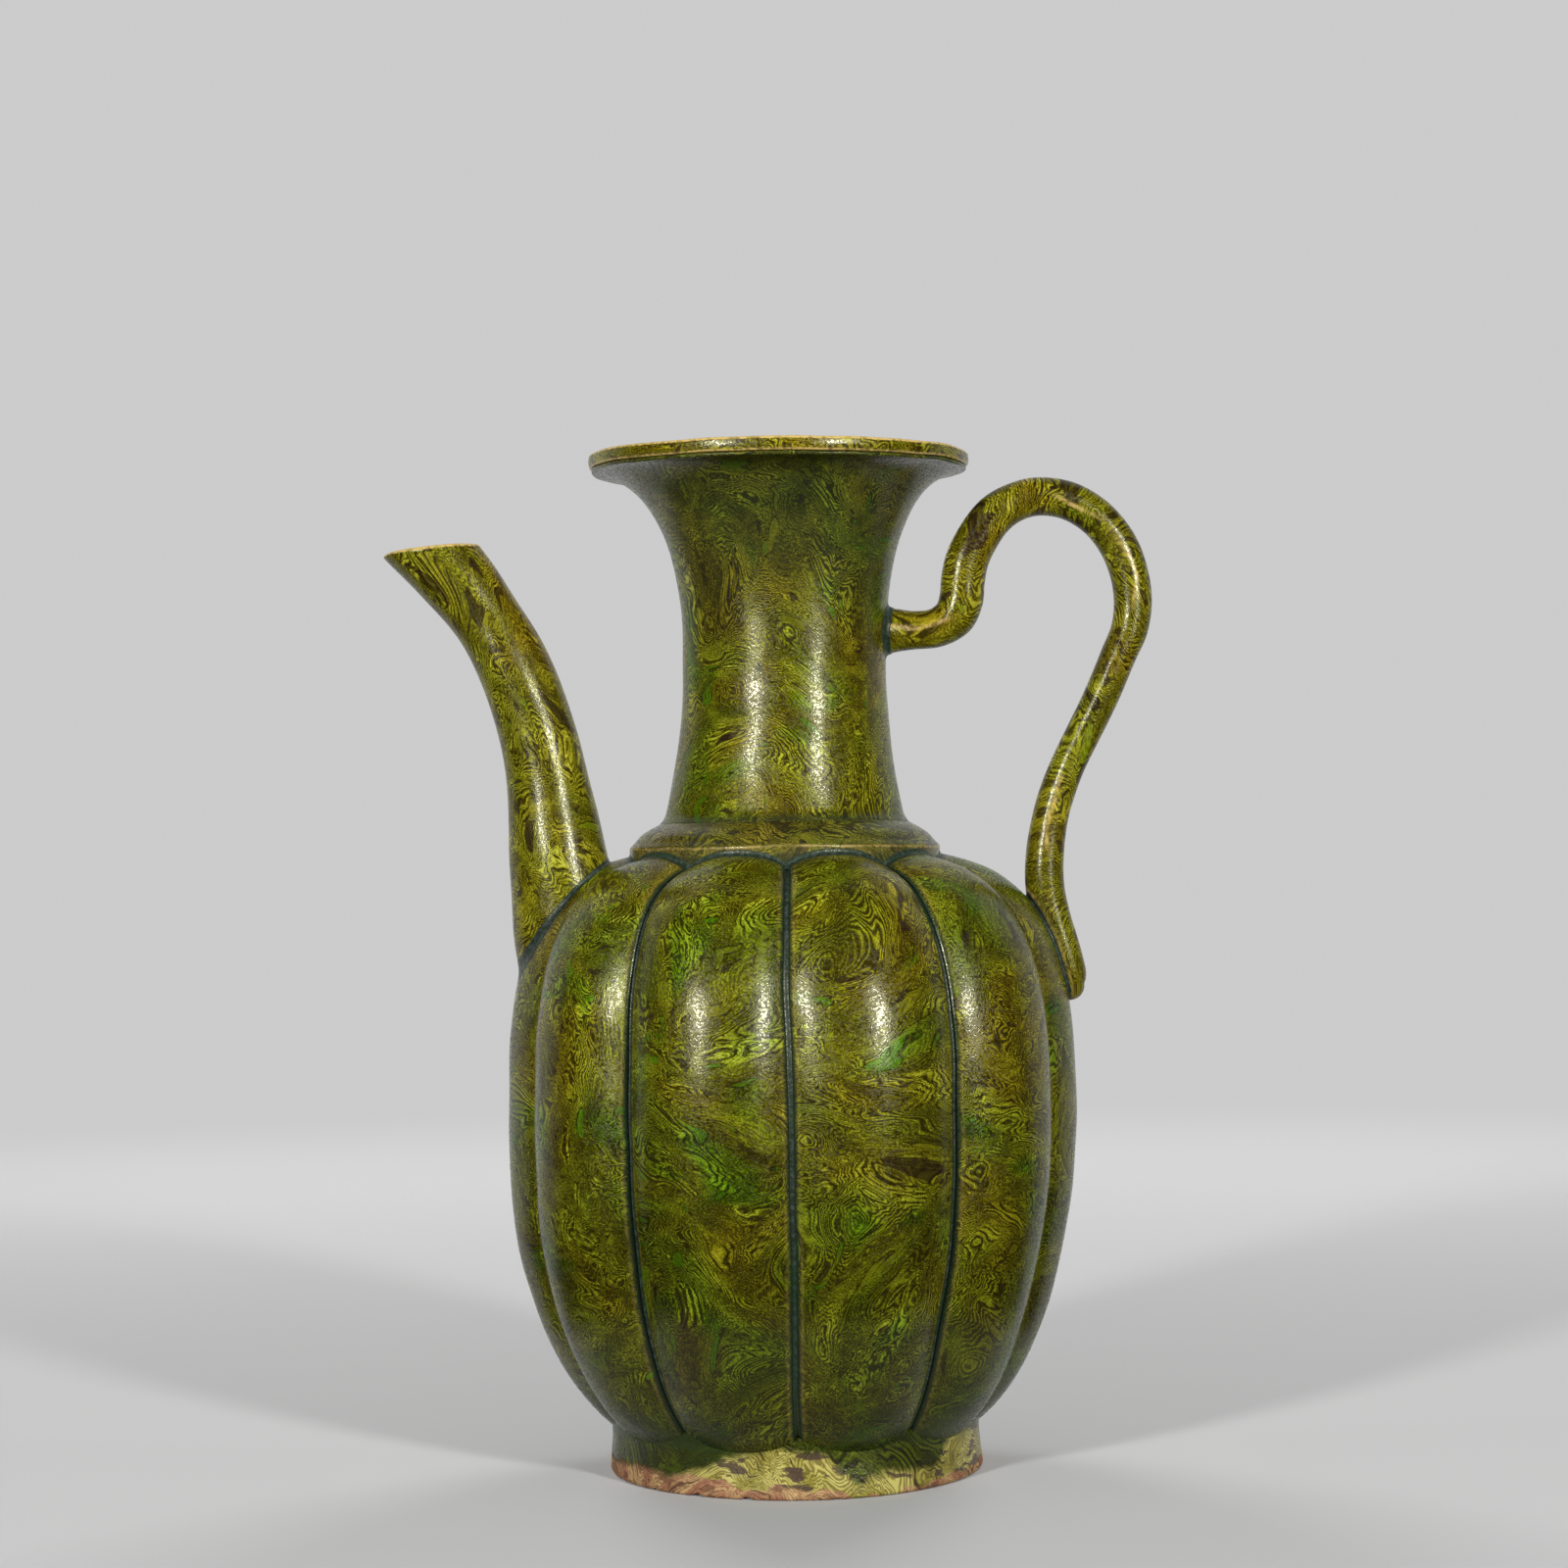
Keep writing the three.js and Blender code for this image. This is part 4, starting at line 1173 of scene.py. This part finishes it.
class EWER_OT_foot(PieceMaker, bpy.types.Operator):
    """Make the foot ring and the floor inside it"""
    bl_idname = "ewer.foot"
    bl_label = "Foot ring and floor"

    def make(self, body, neck, spout, handle):
        top_radius = float(crest_radius(body, np.array(body.foot_height + 0.0003)))
        inner_radius = top_radius - body.foot_width
        self.ring(body, top_radius, inner_radius)
        self.disc(inner_radius)

    def ring(self, body, top_radius, inner_radius):
        """The outline runs up the outside, which is chipped along the table where three sine waves of
        the angle meet, in below the lobes, down the inside, and round the lower edge."""
        angle = angles(turned_sides)
        top = body_height(body, top_radius, angle, *foot_search) + 0.0004
        inner_top = body_height(body, top_radius - foot_tuck, angle, *foot_search)
        bevel = foot_bevel
        waves = np.sin(angle * 23 + 1.0) + np.sin(angle * 41 + 2.0) + np.sin(angle * 67) - np.cos(angle)
        chips = chip_depth * smooth_step(waves, 1.6, 2.8)
        rows = []
        base_radius = top_radius + body.foot_flare
        for turn_share in np.linspace(0, 1, 6):
            corner = turn_share * math.pi / 2
            rows.append((base_radius - bevel * (1 - math.sin(corner)) - chips,
                         bevel * (1 - math.cos(corner)) + chips * (1 - turn_share)))
        for rise in np.linspace(0.06, 1, 22):
            radius = base_radius + (top_radius - base_radius) * min(1, rise * 1.4) - chips * (1 - rise) ** 8
            rows.append((radius, bevel + (top - bevel) * rise))
        rows.append((top_radius - foot_tuck, inner_top))
        rows.append((inner_radius + 0.0002, floor_high.z))
        rows.append((inner_radius, floor_high.z - 0.003))
        for turn_share in np.linspace(0, 1, 5):
            corner = turn_share * math.pi / 2
            rows.append((inner_radius + bevel * (1 - math.cos(corner)), bevel * (1 - math.sin(corner))))
        points = np.concatenate([round_the_axis(radius, height, angle) for radius, height in rows])
        height = points[..., 2] / MILLIMETRE
        outside = off_axis(points) > inner_radius + 0.004
        aside = smooth_step(np.abs(points[..., 0] - 0.008), 0.01, 0.034)
        ring_piece("foot_ring", points, {
            "clay": points / MILLIMETRE, "height": np.where(outside, height, 0),
            "pool_and_shade": 0.6 * smooth_step(height, 9.5, 11.0) * aside}, "Foot clay")

    def disc(self, inner_radius):
        """The floor: its underside sags with the square of the radius and shows a spiral of turning."""
        angle = angles(turned_sides)
        radius = np.linspace(0, inner_radius - hair, 26)[:, None]
        trail = 0.00018 * np.sin(radius * 2600 + angle)
        sag = floor_low.z + 0.0006 * (radius / inner_radius) ** 2 + trail * smooth_step(radius, 0.001, 0.004)
        under = round_the_axis(radius, sag, angle)[::-1]
        over = round_the_axis(radius, floor_high.z, angle)
        disc = np.concatenate([over[1:], under[:-1]])
        nothing = np.zeros(disc.shape[:2])
        capped_piece("body_floor", disc, {"clay": disc / MILLIMETRE, "height": nothing, "pool_and_shade": nothing},
                     "Foot clay", turn_over=True)


class EWER_OT_collar(PieceMaker, bpy.types.Operator):
    """Make the collar at the root of the neck"""
    bl_idname = "ewer.collar"
    bl_label = "Collar"

    def make(self, body, neck, spout, handle):
        angle = angles(fine_sides)
        foot = body_height(body, neck.collar_radius, angle, body.belly_height, shoulder_top)
        shoulder = neck.foot_height - neck.collar_height
        wide = neck.collar_radius - neck.foot_radius
        outline = curve_through([
            (neck.foot_radius + wide * out, shoulder + neck.collar_height * up)
            for out, up in collar_shares], 40)
        half_up = foot + (outline[0, 1] - foot) * 0.5
        hole = body.shoulder_hole + 0.0004
        inner_foot = body_height(body, hole, angle, body.belly_height, shoulder_top)
        rows = [(neck.collar_radius, foot - collar_sunk), (neck.collar_radius, half_up), *outline,
                (neck.foot_radius - neck.wall, neck.foot_height),
                (body.shoulder_hole - 0.0003, inner_foot - 0.0015)]
        points = np.concatenate([round_the_axis(radius, height, angle) for radius, height in rows])
        radius = off_axis(points)
        above = points[..., 2] - shoulder
        arris = band(above, 0.0009, 0.0012, 0.0014, 0.0018)
        thin = np.maximum(arris, 0.2 * (1 - smooth_step(above, 0.001, 0.0014)))
        thin = thin * (radius > neck.collar_radius - 0.003)
        pool_and_shade = 0.6 * smooth_step(points[..., 2], neck.foot_height - 0.0022, neck.foot_height + 0.0004)
        pool_and_shade = np.maximum(pool_and_shade, 0.8 * (1 - smooth_step(above, -0.0008, 0.0002)))
        # Painted shade: the whole collar is darkened at least this much towards the pooled glaze colour, as
        # if it lay in the neck's shade.
        pool_and_shade = np.maximum(pool_and_shade, 0.42)
        ring_piece("collar", points, {"clay": points / MILLIMETRE, "thin": thin, "pool_and_shade": pool_and_shade},
                   "Ochre marbled clay")


class EWER_OT_neck(PieceMaker, bpy.types.Operator):
    """Make the trumpet neck"""
    bl_idname = "ewer.neck"
    bl_label = "Neck"

    def make(self, body, neck, spout, handle):
        top = neck.height - neck.lip_height
        height = np.linspace(neck.foot_height - 2 * hair, top - 2 * hair, outline_points)
        fillet = neck_fillet * (1 - np.clip((height - neck.foot_height) / 0.0024, 0, 1)) ** 2
        outer = evenly_along(np.stack([neck_radius(neck, height) + fillet, height], axis=-1), neck_rows)
        outer = np.insert(outer, 1, outer[0] + np.array([0.0, 0.00012]), axis=0)
        inner = evenly_along(np.stack([bore_radius(neck, height), height], axis=-1), bore_rows)[::-1]
        outline = np.concatenate([outer, inner])
        points = round_the_axis(outline[:, 0:1], outline[:, 1:2], angles(turned_sides))
        above = points[..., 2] - neck.foot_height
        outside = (np.arange(len(outline)) < len(outer))[:, None]
        at_foot = 0.6 * (1 - smooth_step(above, 0.0, 0.0024))
        # Painted shade: the flare is darkened towards the pooled glaze colour, standing in for the shade
        # under it.
        flare_painted_shade = 0.45 * smooth_step(points[..., 2], neck.height - 0.055, neck.height - 0.014)
        pool_and_shade = np.maximum(at_foot, flare_painted_shade) * outside
        clay = points / MILLIMETRE + np.array([200.0, 0.0, 0.0])
        ring_piece("neck", points, {"clay": clay, "thin": np.zeros(points.shape[:2]), "pool_and_shade": pool_and_shade},
                   "Marbled clay")


class EWER_OT_lip(PieceMaker, bpy.types.Operator):
    """Make the lip band at the mouth"""
    bl_idname = "ewer.lip"
    bl_label = "Lip band"

    def make(self, body, neck, spout, handle):
        low, high, radius = neck.height - neck.lip_height, neck.height, neck.lip_radius
        turn = neck.lip_round
        quarter = np.linspace(0, math.pi / 2, 6)
        outline = [(radius - turn * (1 - math.sin(q)), low + turn * (1 - math.cos(q))) for q in quarter]
        outline += [(radius + hair, (low + high) / 2)]
        outline += [(radius - turn * (1 - math.cos(q)), high - turn * (1 - math.sin(q))) for q in quarter]
        mouth = radius - neck.lip_wall
        outline += [(mouth + turn * (1 - math.sin(q)), high - turn * (1 - math.cos(q))) for q in quarter]
        inside = np.linspace(high - turn * 1.6, low - 0.0004, 5)
        outline = np.concatenate([outline, np.stack([bore_radius(neck, inside), inside], axis=-1)])
        points = round_the_axis(outline[:, 0:1], outline[:, 1:2], angles(fine_sides))
        side = points[..., 2]
        radius_here = off_axis(points)
        top_edge = smooth_step(side, high - 0.0007, high - 0.0003) * smooth_step(
            radius_here, radius - 0.0016, radius - 0.0008)
        low_edge = 0.7 * (1 - smooth_step(side, low + 0.0001, low + 0.0006)) * (radius_here > mouth + 0.0015)
        thin = 2.2 * np.maximum(top_edge, low_edge)
        marks = {"clay": points / MILLIMETRE, "thin": thin, "pool_and_shade": np.zeros_like(thin)}
        ring_piece("mouth_rim", points, marks, "Ochre marbled clay")


class EWER_OT_spout(PieceMaker, bpy.types.Operator):
    """Make the spout with its bore and its slanting mouth"""
    bl_idname = "ewer.spout"
    bl_label = "Spout"

    def make(self, body, neck, spout, handle):
        stations = spout_stations(spout)
        around = angles(spout_sides)
        search = np.linspace(0, 1, outline_points)
        skin = limb_points(stations, search[:, None], around)
        root = first_crossing(above_body(body, skin) + 0.0006, search)
        mouth_x = axis_x - spout.end_reach + spout.mouth_inset
        mouth_z = spout.end_height - spout.mouth_drop
        normal = np.array([-math.sin(spout.mouth_tilt), 0, math.cos(spout.mouth_tilt)])
        middle = np.array([mouth_x, 0, mouth_z])
        end_outer = first_crossing((skin - middle) @ normal + 0.0007, search)
        bore = limb_points(stations, search[:, None], around, spout.wall)
        end_inner = first_crossing((bore - middle) @ normal + 0.0007, search)
        up = np.linspace(0, 1, spout_rows)[:, None]
        outer = limb_points(stations, root + (end_outer - root) * up, around)
        inner_up = np.linspace(1, 0, spout_bore_rows)[:, None]
        inner = limb_points(stations, root + (end_inner - root) * inner_up, around, spout.wall)
        arc = np.linspace(0, math.pi, 9)[1:-1, None, None]
        rim = (outer[-1] + inner[0]) / 2 + np.cos(arc) * (outer[-1] - inner[0]) / 2
        rim = rim + np.sin(arc) * normal * mouth_round
        points = np.concatenate([outer, rim, inner])
        below_mouth = -((points - middle) @ normal)
        along = np.concatenate([np.broadcast_to(root + (end_outer - root) * up, outer.shape[:2]),
                                np.broadcast_to(end_outer, (len(rim), around.size)),
                                np.broadcast_to(root + (end_inner - root) * inner_up, inner.shape[:2])])
        clay = limb_clay(13, 105.0, 330, along, around)
        thin = 2.8 * (1 - smooth_step(below_mouth, 0.0, 0.0007))
        ring_piece("spout", points, {"clay": clay, "thin": thin, "pool_and_shade": np.zeros_like(thin)},
                   "Ochre marbled clay")


class EWER_OT_handle(PieceMaker, bpy.types.Operator):
    """Make the looped handle with its tongue"""
    bl_idname = "ewer.handle"
    bl_label = "Handle"

    def make(self, body, neck, spout, handle):
        def on_body(places):
            """Distance of places above the lobed skin."""
            return above_body(body, places)

        stations = handle_stations(body, neck, handle)
        around = angles(handle_sides)
        along = np.linspace(0, 1, handle_rows)[:, None]
        tube = limb_points(stations, along, around)
        end = tube[-1].mean(axis=0)
        way = np.array([stations[-1, 0] - stations[-6, 0], 0, stations[-1, 1] - stations[-6, 1]])
        arc = np.linspace(0, math.pi / 2, 8)[1:-1, None, None]
        cap = end + np.cos(arc) * (tube[-1] - end) + np.sin(arc) * unit(way) * stations[-1, 2]
        points = np.concatenate([tube, cap])
        low = points[..., 2] < neck.foot_height
        lift = np.where(low, np.maximum(0, -handle.sink - on_body(points)), 0)
        points = points + lift[..., None] * gradient_of(on_body, points)
        step = np.concatenate([np.broadcast_to(along, tube.shape[:2]), np.ones(cap.shape[:2])])
        clay = limb_clay(4.6, 190.0, 700, step, around)
        near_body = np.where(low, on_body(points), 1)
        thin = 0.6 * band(near_body, 0.0008, 0.0011, 0.0013, 0.0018)
        # A cream streak along the rod's front, broken into lengths: partly thin glaze and partly a painted
        # highlight.
        waver = 0.16 * np.sin(step * 31) + 0.08 * np.sin(step * 83 + 1)
        beside = np.abs(around - math.pi + waver)
        lengths = smooth_step(np.sin(step * 17 + 0.6) + 0.6 * np.sin(step * 43), 0.1, 0.7)
        glaze_and_highlight_streak = (1 - smooth_step(beside, 0.05, 0.16)) * lengths
        thin = np.maximum(thin, 0.75 * glaze_and_highlight_streak)
        capped_piece("handle", points, {"clay": clay, "thin": thin, "pool_and_shade": np.zeros_like(thin)},
                     "Ochre marbled clay")


class EWER_OT_beads(PieceMaker, bpy.types.Operator):
    """Make the beads of slip and glaze where collar, spout and handle are joined on"""
    bl_idname = "ewer.beads"
    bl_label = "Beads"

    def bead(self, name, carrier, limb, corners, size, turn_over):
        """The bead along a line of corners between a carrier and a limb."""
        points = bead_points(carrier, limb, corners, size)
        ring_piece(name, points, {"clay": points / MILLIMETRE, "pool_and_shade": np.zeros(points.shape[:2])},
                   "Pooled glaze", turn_over=turn_over)

    def limb_bead(self, name, carrier, stations, middle, up, reach, size, turn_over):
        """The bead round a limb, whose print on its carrier is looked for within a reach."""
        def limb(points):
            """Distance of points outside the limb, with the direction away from it."""
            return off_limb(stations, points)

        corners = footprint(carrier, limb, np.array(middle), unit(np.array(up)), reach)
        self.bead(name, carrier, limb, corners, size, turn_over)

    def make(self, body, neck, spout, handle):
        def on_body(points):
            """Distance of points above the lobed skin."""
            return above_body(body, points)

        def on_neck(points):
            """Distance of points outside the neck."""
            return above_neck(neck, points)

        def off_collar(points):
            """Distance of points outside the collar, with the direction away from the axis."""
            off = points - np.array([axis_x, 0, 0])
            off[..., 2] = 0
            radius = np.linalg.norm(off, axis=-1)
            return radius - neck.collar_radius, off / radius[..., None]

        angle = angles(fine_sides)[0]
        radius = neck.collar_radius
        foot = body_height(body, radius, angle, body.belly_height, shoulder_top)
        ring = round_the_axis(radius, foot, angle)
        self.bead("collar_bead", on_body, off_collar, ring, collar_bead, True)

        middle = (axis_x - 0.0545, 0, 0.133)
        self.limb_bead("spout_bead", on_body, spout_stations(spout), middle, (0.6, 0, 0.8), 0.032,
                       spout_bead, False)

        stations = handle_stations(body, neck, handle)[::2]
        middle = (axis_x + neck.radius, 0, neck_place(neck, handle.root_share))
        self.limb_bead("handle_upper_bead", on_neck, stations, middle, (0, 0, 1.0), 0.012, upper_bead, True)

        height = handle.seat_height - handle.tongue_length * 0.45
        middle = (axis_x + float(crest_radius(body, np.array(height))), 0, height)
        self.limb_bead("handle_lower_bead", on_body, stations, middle, (0, 0, 1.0), 0.026, lower_bead, True)


# Stage

def new_sheet(name, points, material):
    """A sheet of the stage, made from a grid of points."""
    rows, columns = points.shape[:2]
    mesh = bpy.data.meshes.new(name)
    mesh.from_pydata(points.reshape(-1, 3).tolist(), [], quads_of(rows, columns, False, False).tolist())
    mesh.materials.append(bpy.data.materials[material])
    sheet = bpy.data.objects.new(name, mesh)
    bpy.context.scene.collection.objects.link(sheet)
    return sheet


def turned_to(side, up, away, place):
    """The matrix of a lamp or a camera: the directions of its X, Y and Z, and its place."""
    turned = Matrix(np.array([side, up, away]).T.tolist()).to_4x4()
    turned.translation = place
    return turned


def lamp_place(turn, distance, height):
    """A place at an angle off the front in degrees, a distance from the ewer's axis and a height."""
    angle = math.radians(turn)
    return (axis_x + distance * math.sin(angle), -distance * math.cos(angle), height)


def add_lamp(name, place, target, width, height, watts, mirrored=True):
    """A lamp at a place that shines at a target. Reflections see it only if it is mirrored."""
    lamp = bpy.data.lights.new(name, "AREA")
    lamp.shape = "RECTANGLE"
    lamp.size, lamp.size_y = width, height
    lamp.energy = watts
    holder = bpy.data.objects.new(name, lamp)
    bpy.context.scene.collection.objects.link(holder)
    away = unit(np.array(place) - np.array(target))
    side = unit(np.cross([0, 0, 1.0], away)) if abs(away[2]) < 0.99 else np.array([1.0, 0, 0])
    holder.matrix_world = turned_to(side, np.cross(away, side), away, place)
    holder.visible_glossy = mirrored


class EWER_OT_stage(bpy.types.Operator):
    """Set the floor, the lamps, the surroundings and the camera"""
    bl_idname = "ewer.stage"
    bl_label = "Stage"
    bl_options = {"REGISTER", "UNDO"}

    def execute(self, context):
        scene, stage = context.scene, context.scene.ewer_stage
        self.floor()
        self.cloth(scene.ewer_finish)
        middle = (axis_x, 0, 0.12)
        for name, turn in (("key_left", -34), ("key_right", 34)):
            add_lamp(name, lamp_place(turn, 1.5, 0.5), middle, 0.16, 0.17, stage.key_power)
        for name, turn in (("back_left", -150), ("back_right", 150)):
            place = lamp_place(turn, 1.4, 0.8)
            add_lamp(name, place, middle, 0.6, 0.6, stage.back_power, mirrored=False)
        add_lamp("top", (axis_x, 0.1, 1.7), middle, 1.6, 1.6, stage.top_power, mirrored=False)
        self.world(scene, stage)
        self.camera(scene, stage)
        scene.view_settings.view_transform = "Standard"
        return {"FINISHED"}

    def floor(self):
        """A floor that curves up into a backdrop: flat, a quarter circle, and upright."""
        front, behind, bend, top, half_width = -4.0, 1.6, 0.9, 4.0, 5.0
        quarter = np.linspace(0, math.pi / 2, 24)
        line = [(front, 0.0)]
        line += [(behind + bend * math.sin(q), bend * (1 - math.cos(q))) for q in quarter]
        line += [(behind + bend, top)]
        line = np.array(line)
        side = np.array([-half_width, half_width])[None, :]
        points = np.stack(np.broadcast_arrays(side, line[:, 0:1], line[:, 1:2]), axis=-1)
        floor = new_sheet("floor", points, "Stage paper")
        floor.data.shade_smooth()

    def cloth(self, finish):
        """A dark cloth round the front and overhead that only reflections see, as a photographer hangs
        it to keep the colours of a glaze deep. Behind the ewer reflections see the pale backdrop."""
        tree = new_material("Dark cloth")
        shader = new_node(tree, "ShaderNodeBsdfPrincipled", {
            "Base Color": rgba(finish.cloth), "Roughness": 1.0, "Specular IOR Level": 0.0})
        new_node(tree, "ShaderNodeOutputMaterial", {"Surface": shader.outputs[0]})
        turn = np.radians(np.linspace(-195, 15, 64))[None, :]
        line = np.array([(0.11, 0.002), (2.1, 0.002), (2.1, 3.0), (0.05, 3.0)])
        cloth = new_sheet("cloth", round_the_axis(line[:, 0:1], line[:, 1:2], turn), "Dark cloth")
        cloth.visible_camera = False
        cloth.visible_diffuse = False
        cloth.visible_transmission = False
        cloth.visible_shadow = False

    def world(self, scene, stage):
        """Pale where it is seen or reflected, and a plain level of light for everything else."""
        world = bpy.data.worlds.new("studio")
        world.use_nodes = True
        tree = world.node_tree
        tree.nodes.clear()
        lit = new_node(tree, "ShaderNodeBackground", {"Color": (1, 1, 1, 1), "Strength": stage.world_level})
        shown = new_node(tree, "ShaderNodeBackground", {
            "Color": rgba(scene.ewer_finish.backdrop), "Strength": 1.0})
        both = new_node(tree, "ShaderNodeMixShader", {
            0: seen_directly(tree), 1: lit.outputs[0], 2: shown.outputs[0]})
        new_node(tree, "ShaderNodeOutputWorld", {"Surface": both.outputs[0]})
        scene.world = world

    def camera(self, scene, stage):
        """Looks along +Y from the eye, tilted up and rolled as the photograph's camera was."""
        lens = bpy.data.cameras.new("camera")
        lens.sensor_width, lens.lens = 36.0, stage.lens
        lens.clip_start, lens.clip_end = 0.01, 50.0
        holder = bpy.data.objects.new("camera", lens)
        scene.collection.objects.link(holder)
        tilt, roll = stage.tilt, stage.roll
        ahead = np.array([0, math.cos(tilt), math.sin(tilt)])
        level_right, level_up = np.array([1.0, 0, 0]), np.array([0, -math.sin(tilt), math.cos(tilt)])
        right = level_right * math.cos(roll) - level_up * math.sin(roll)
        up = level_right * math.sin(roll) + level_up * math.cos(roll)
        eye = (axis_x - stage.eye_shift, -stage.eye_distance, stage.eye_height)
        holder.matrix_world = turned_to(right, up, -ahead, eye)
        scene.camera = holder


class EWER_PT_panel(bpy.types.Panel):
    """Lists the sizes, the pieces and the stage"""
    bl_idname = "EWER_PT_panel"
    bl_label = "Marbled Lobed Ewer"
    bl_space_type = "VIEW_3D"
    bl_region_type = "UI"
    bl_category = "Ewer"

    def draw(self, context):
        for operator in maker_order:
            self.layout.operator(operator.bl_idname)
        for holder in group_names:
            group = getattr(context.scene, holder)
            box = self.layout.box()
            box.label(text=holder)
            for name in group.__annotations__:
                box.prop(group, name)


maker_order = (EWER_OT_finishes, EWER_OT_lobes, EWER_OT_seams, EWER_OT_foot, EWER_OT_collar, EWER_OT_neck,
               EWER_OT_lip, EWER_OT_spout, EWER_OT_handle, EWER_OT_beads, EWER_OT_stage)
group_names = {"ewer_body": EWER_PG_body, "ewer_neck": EWER_PG_neck, "ewer_spout": EWER_PG_spout,
               "ewer_handle": EWER_PG_handle, "ewer_finish": EWER_PG_finish, "ewer_stage": EWER_PG_stage}


def register():
    """Makes the groups, the operators and the panel known."""
    for group in group_names.values():
        bpy.utils.register_class(group)
    for name, group in group_names.items():
        setattr(bpy.types.Scene, name, bpy.props.PointerProperty(type=group))
    for operator in maker_order:
        bpy.utils.register_class(operator)
    bpy.utils.register_class(EWER_PT_panel)


def unregister():
    """Takes back what register did, last things first."""
    bpy.utils.unregister_class(EWER_PT_panel)
    for operator in reversed(maker_order):
        bpy.utils.unregister_class(operator)
    for name, group in group_names.items():
        delattr(bpy.types.Scene, name)
        bpy.utils.unregister_class(group)


def main():
    """Makes everything in order."""
    register()
    for operator in maker_order:
        family, name = operator.bl_idname.split(".")
        getattr(getattr(bpy.ops, family), name)()
    bpy.context.view_layer.update()


if __name__ == "__main__":
    main()
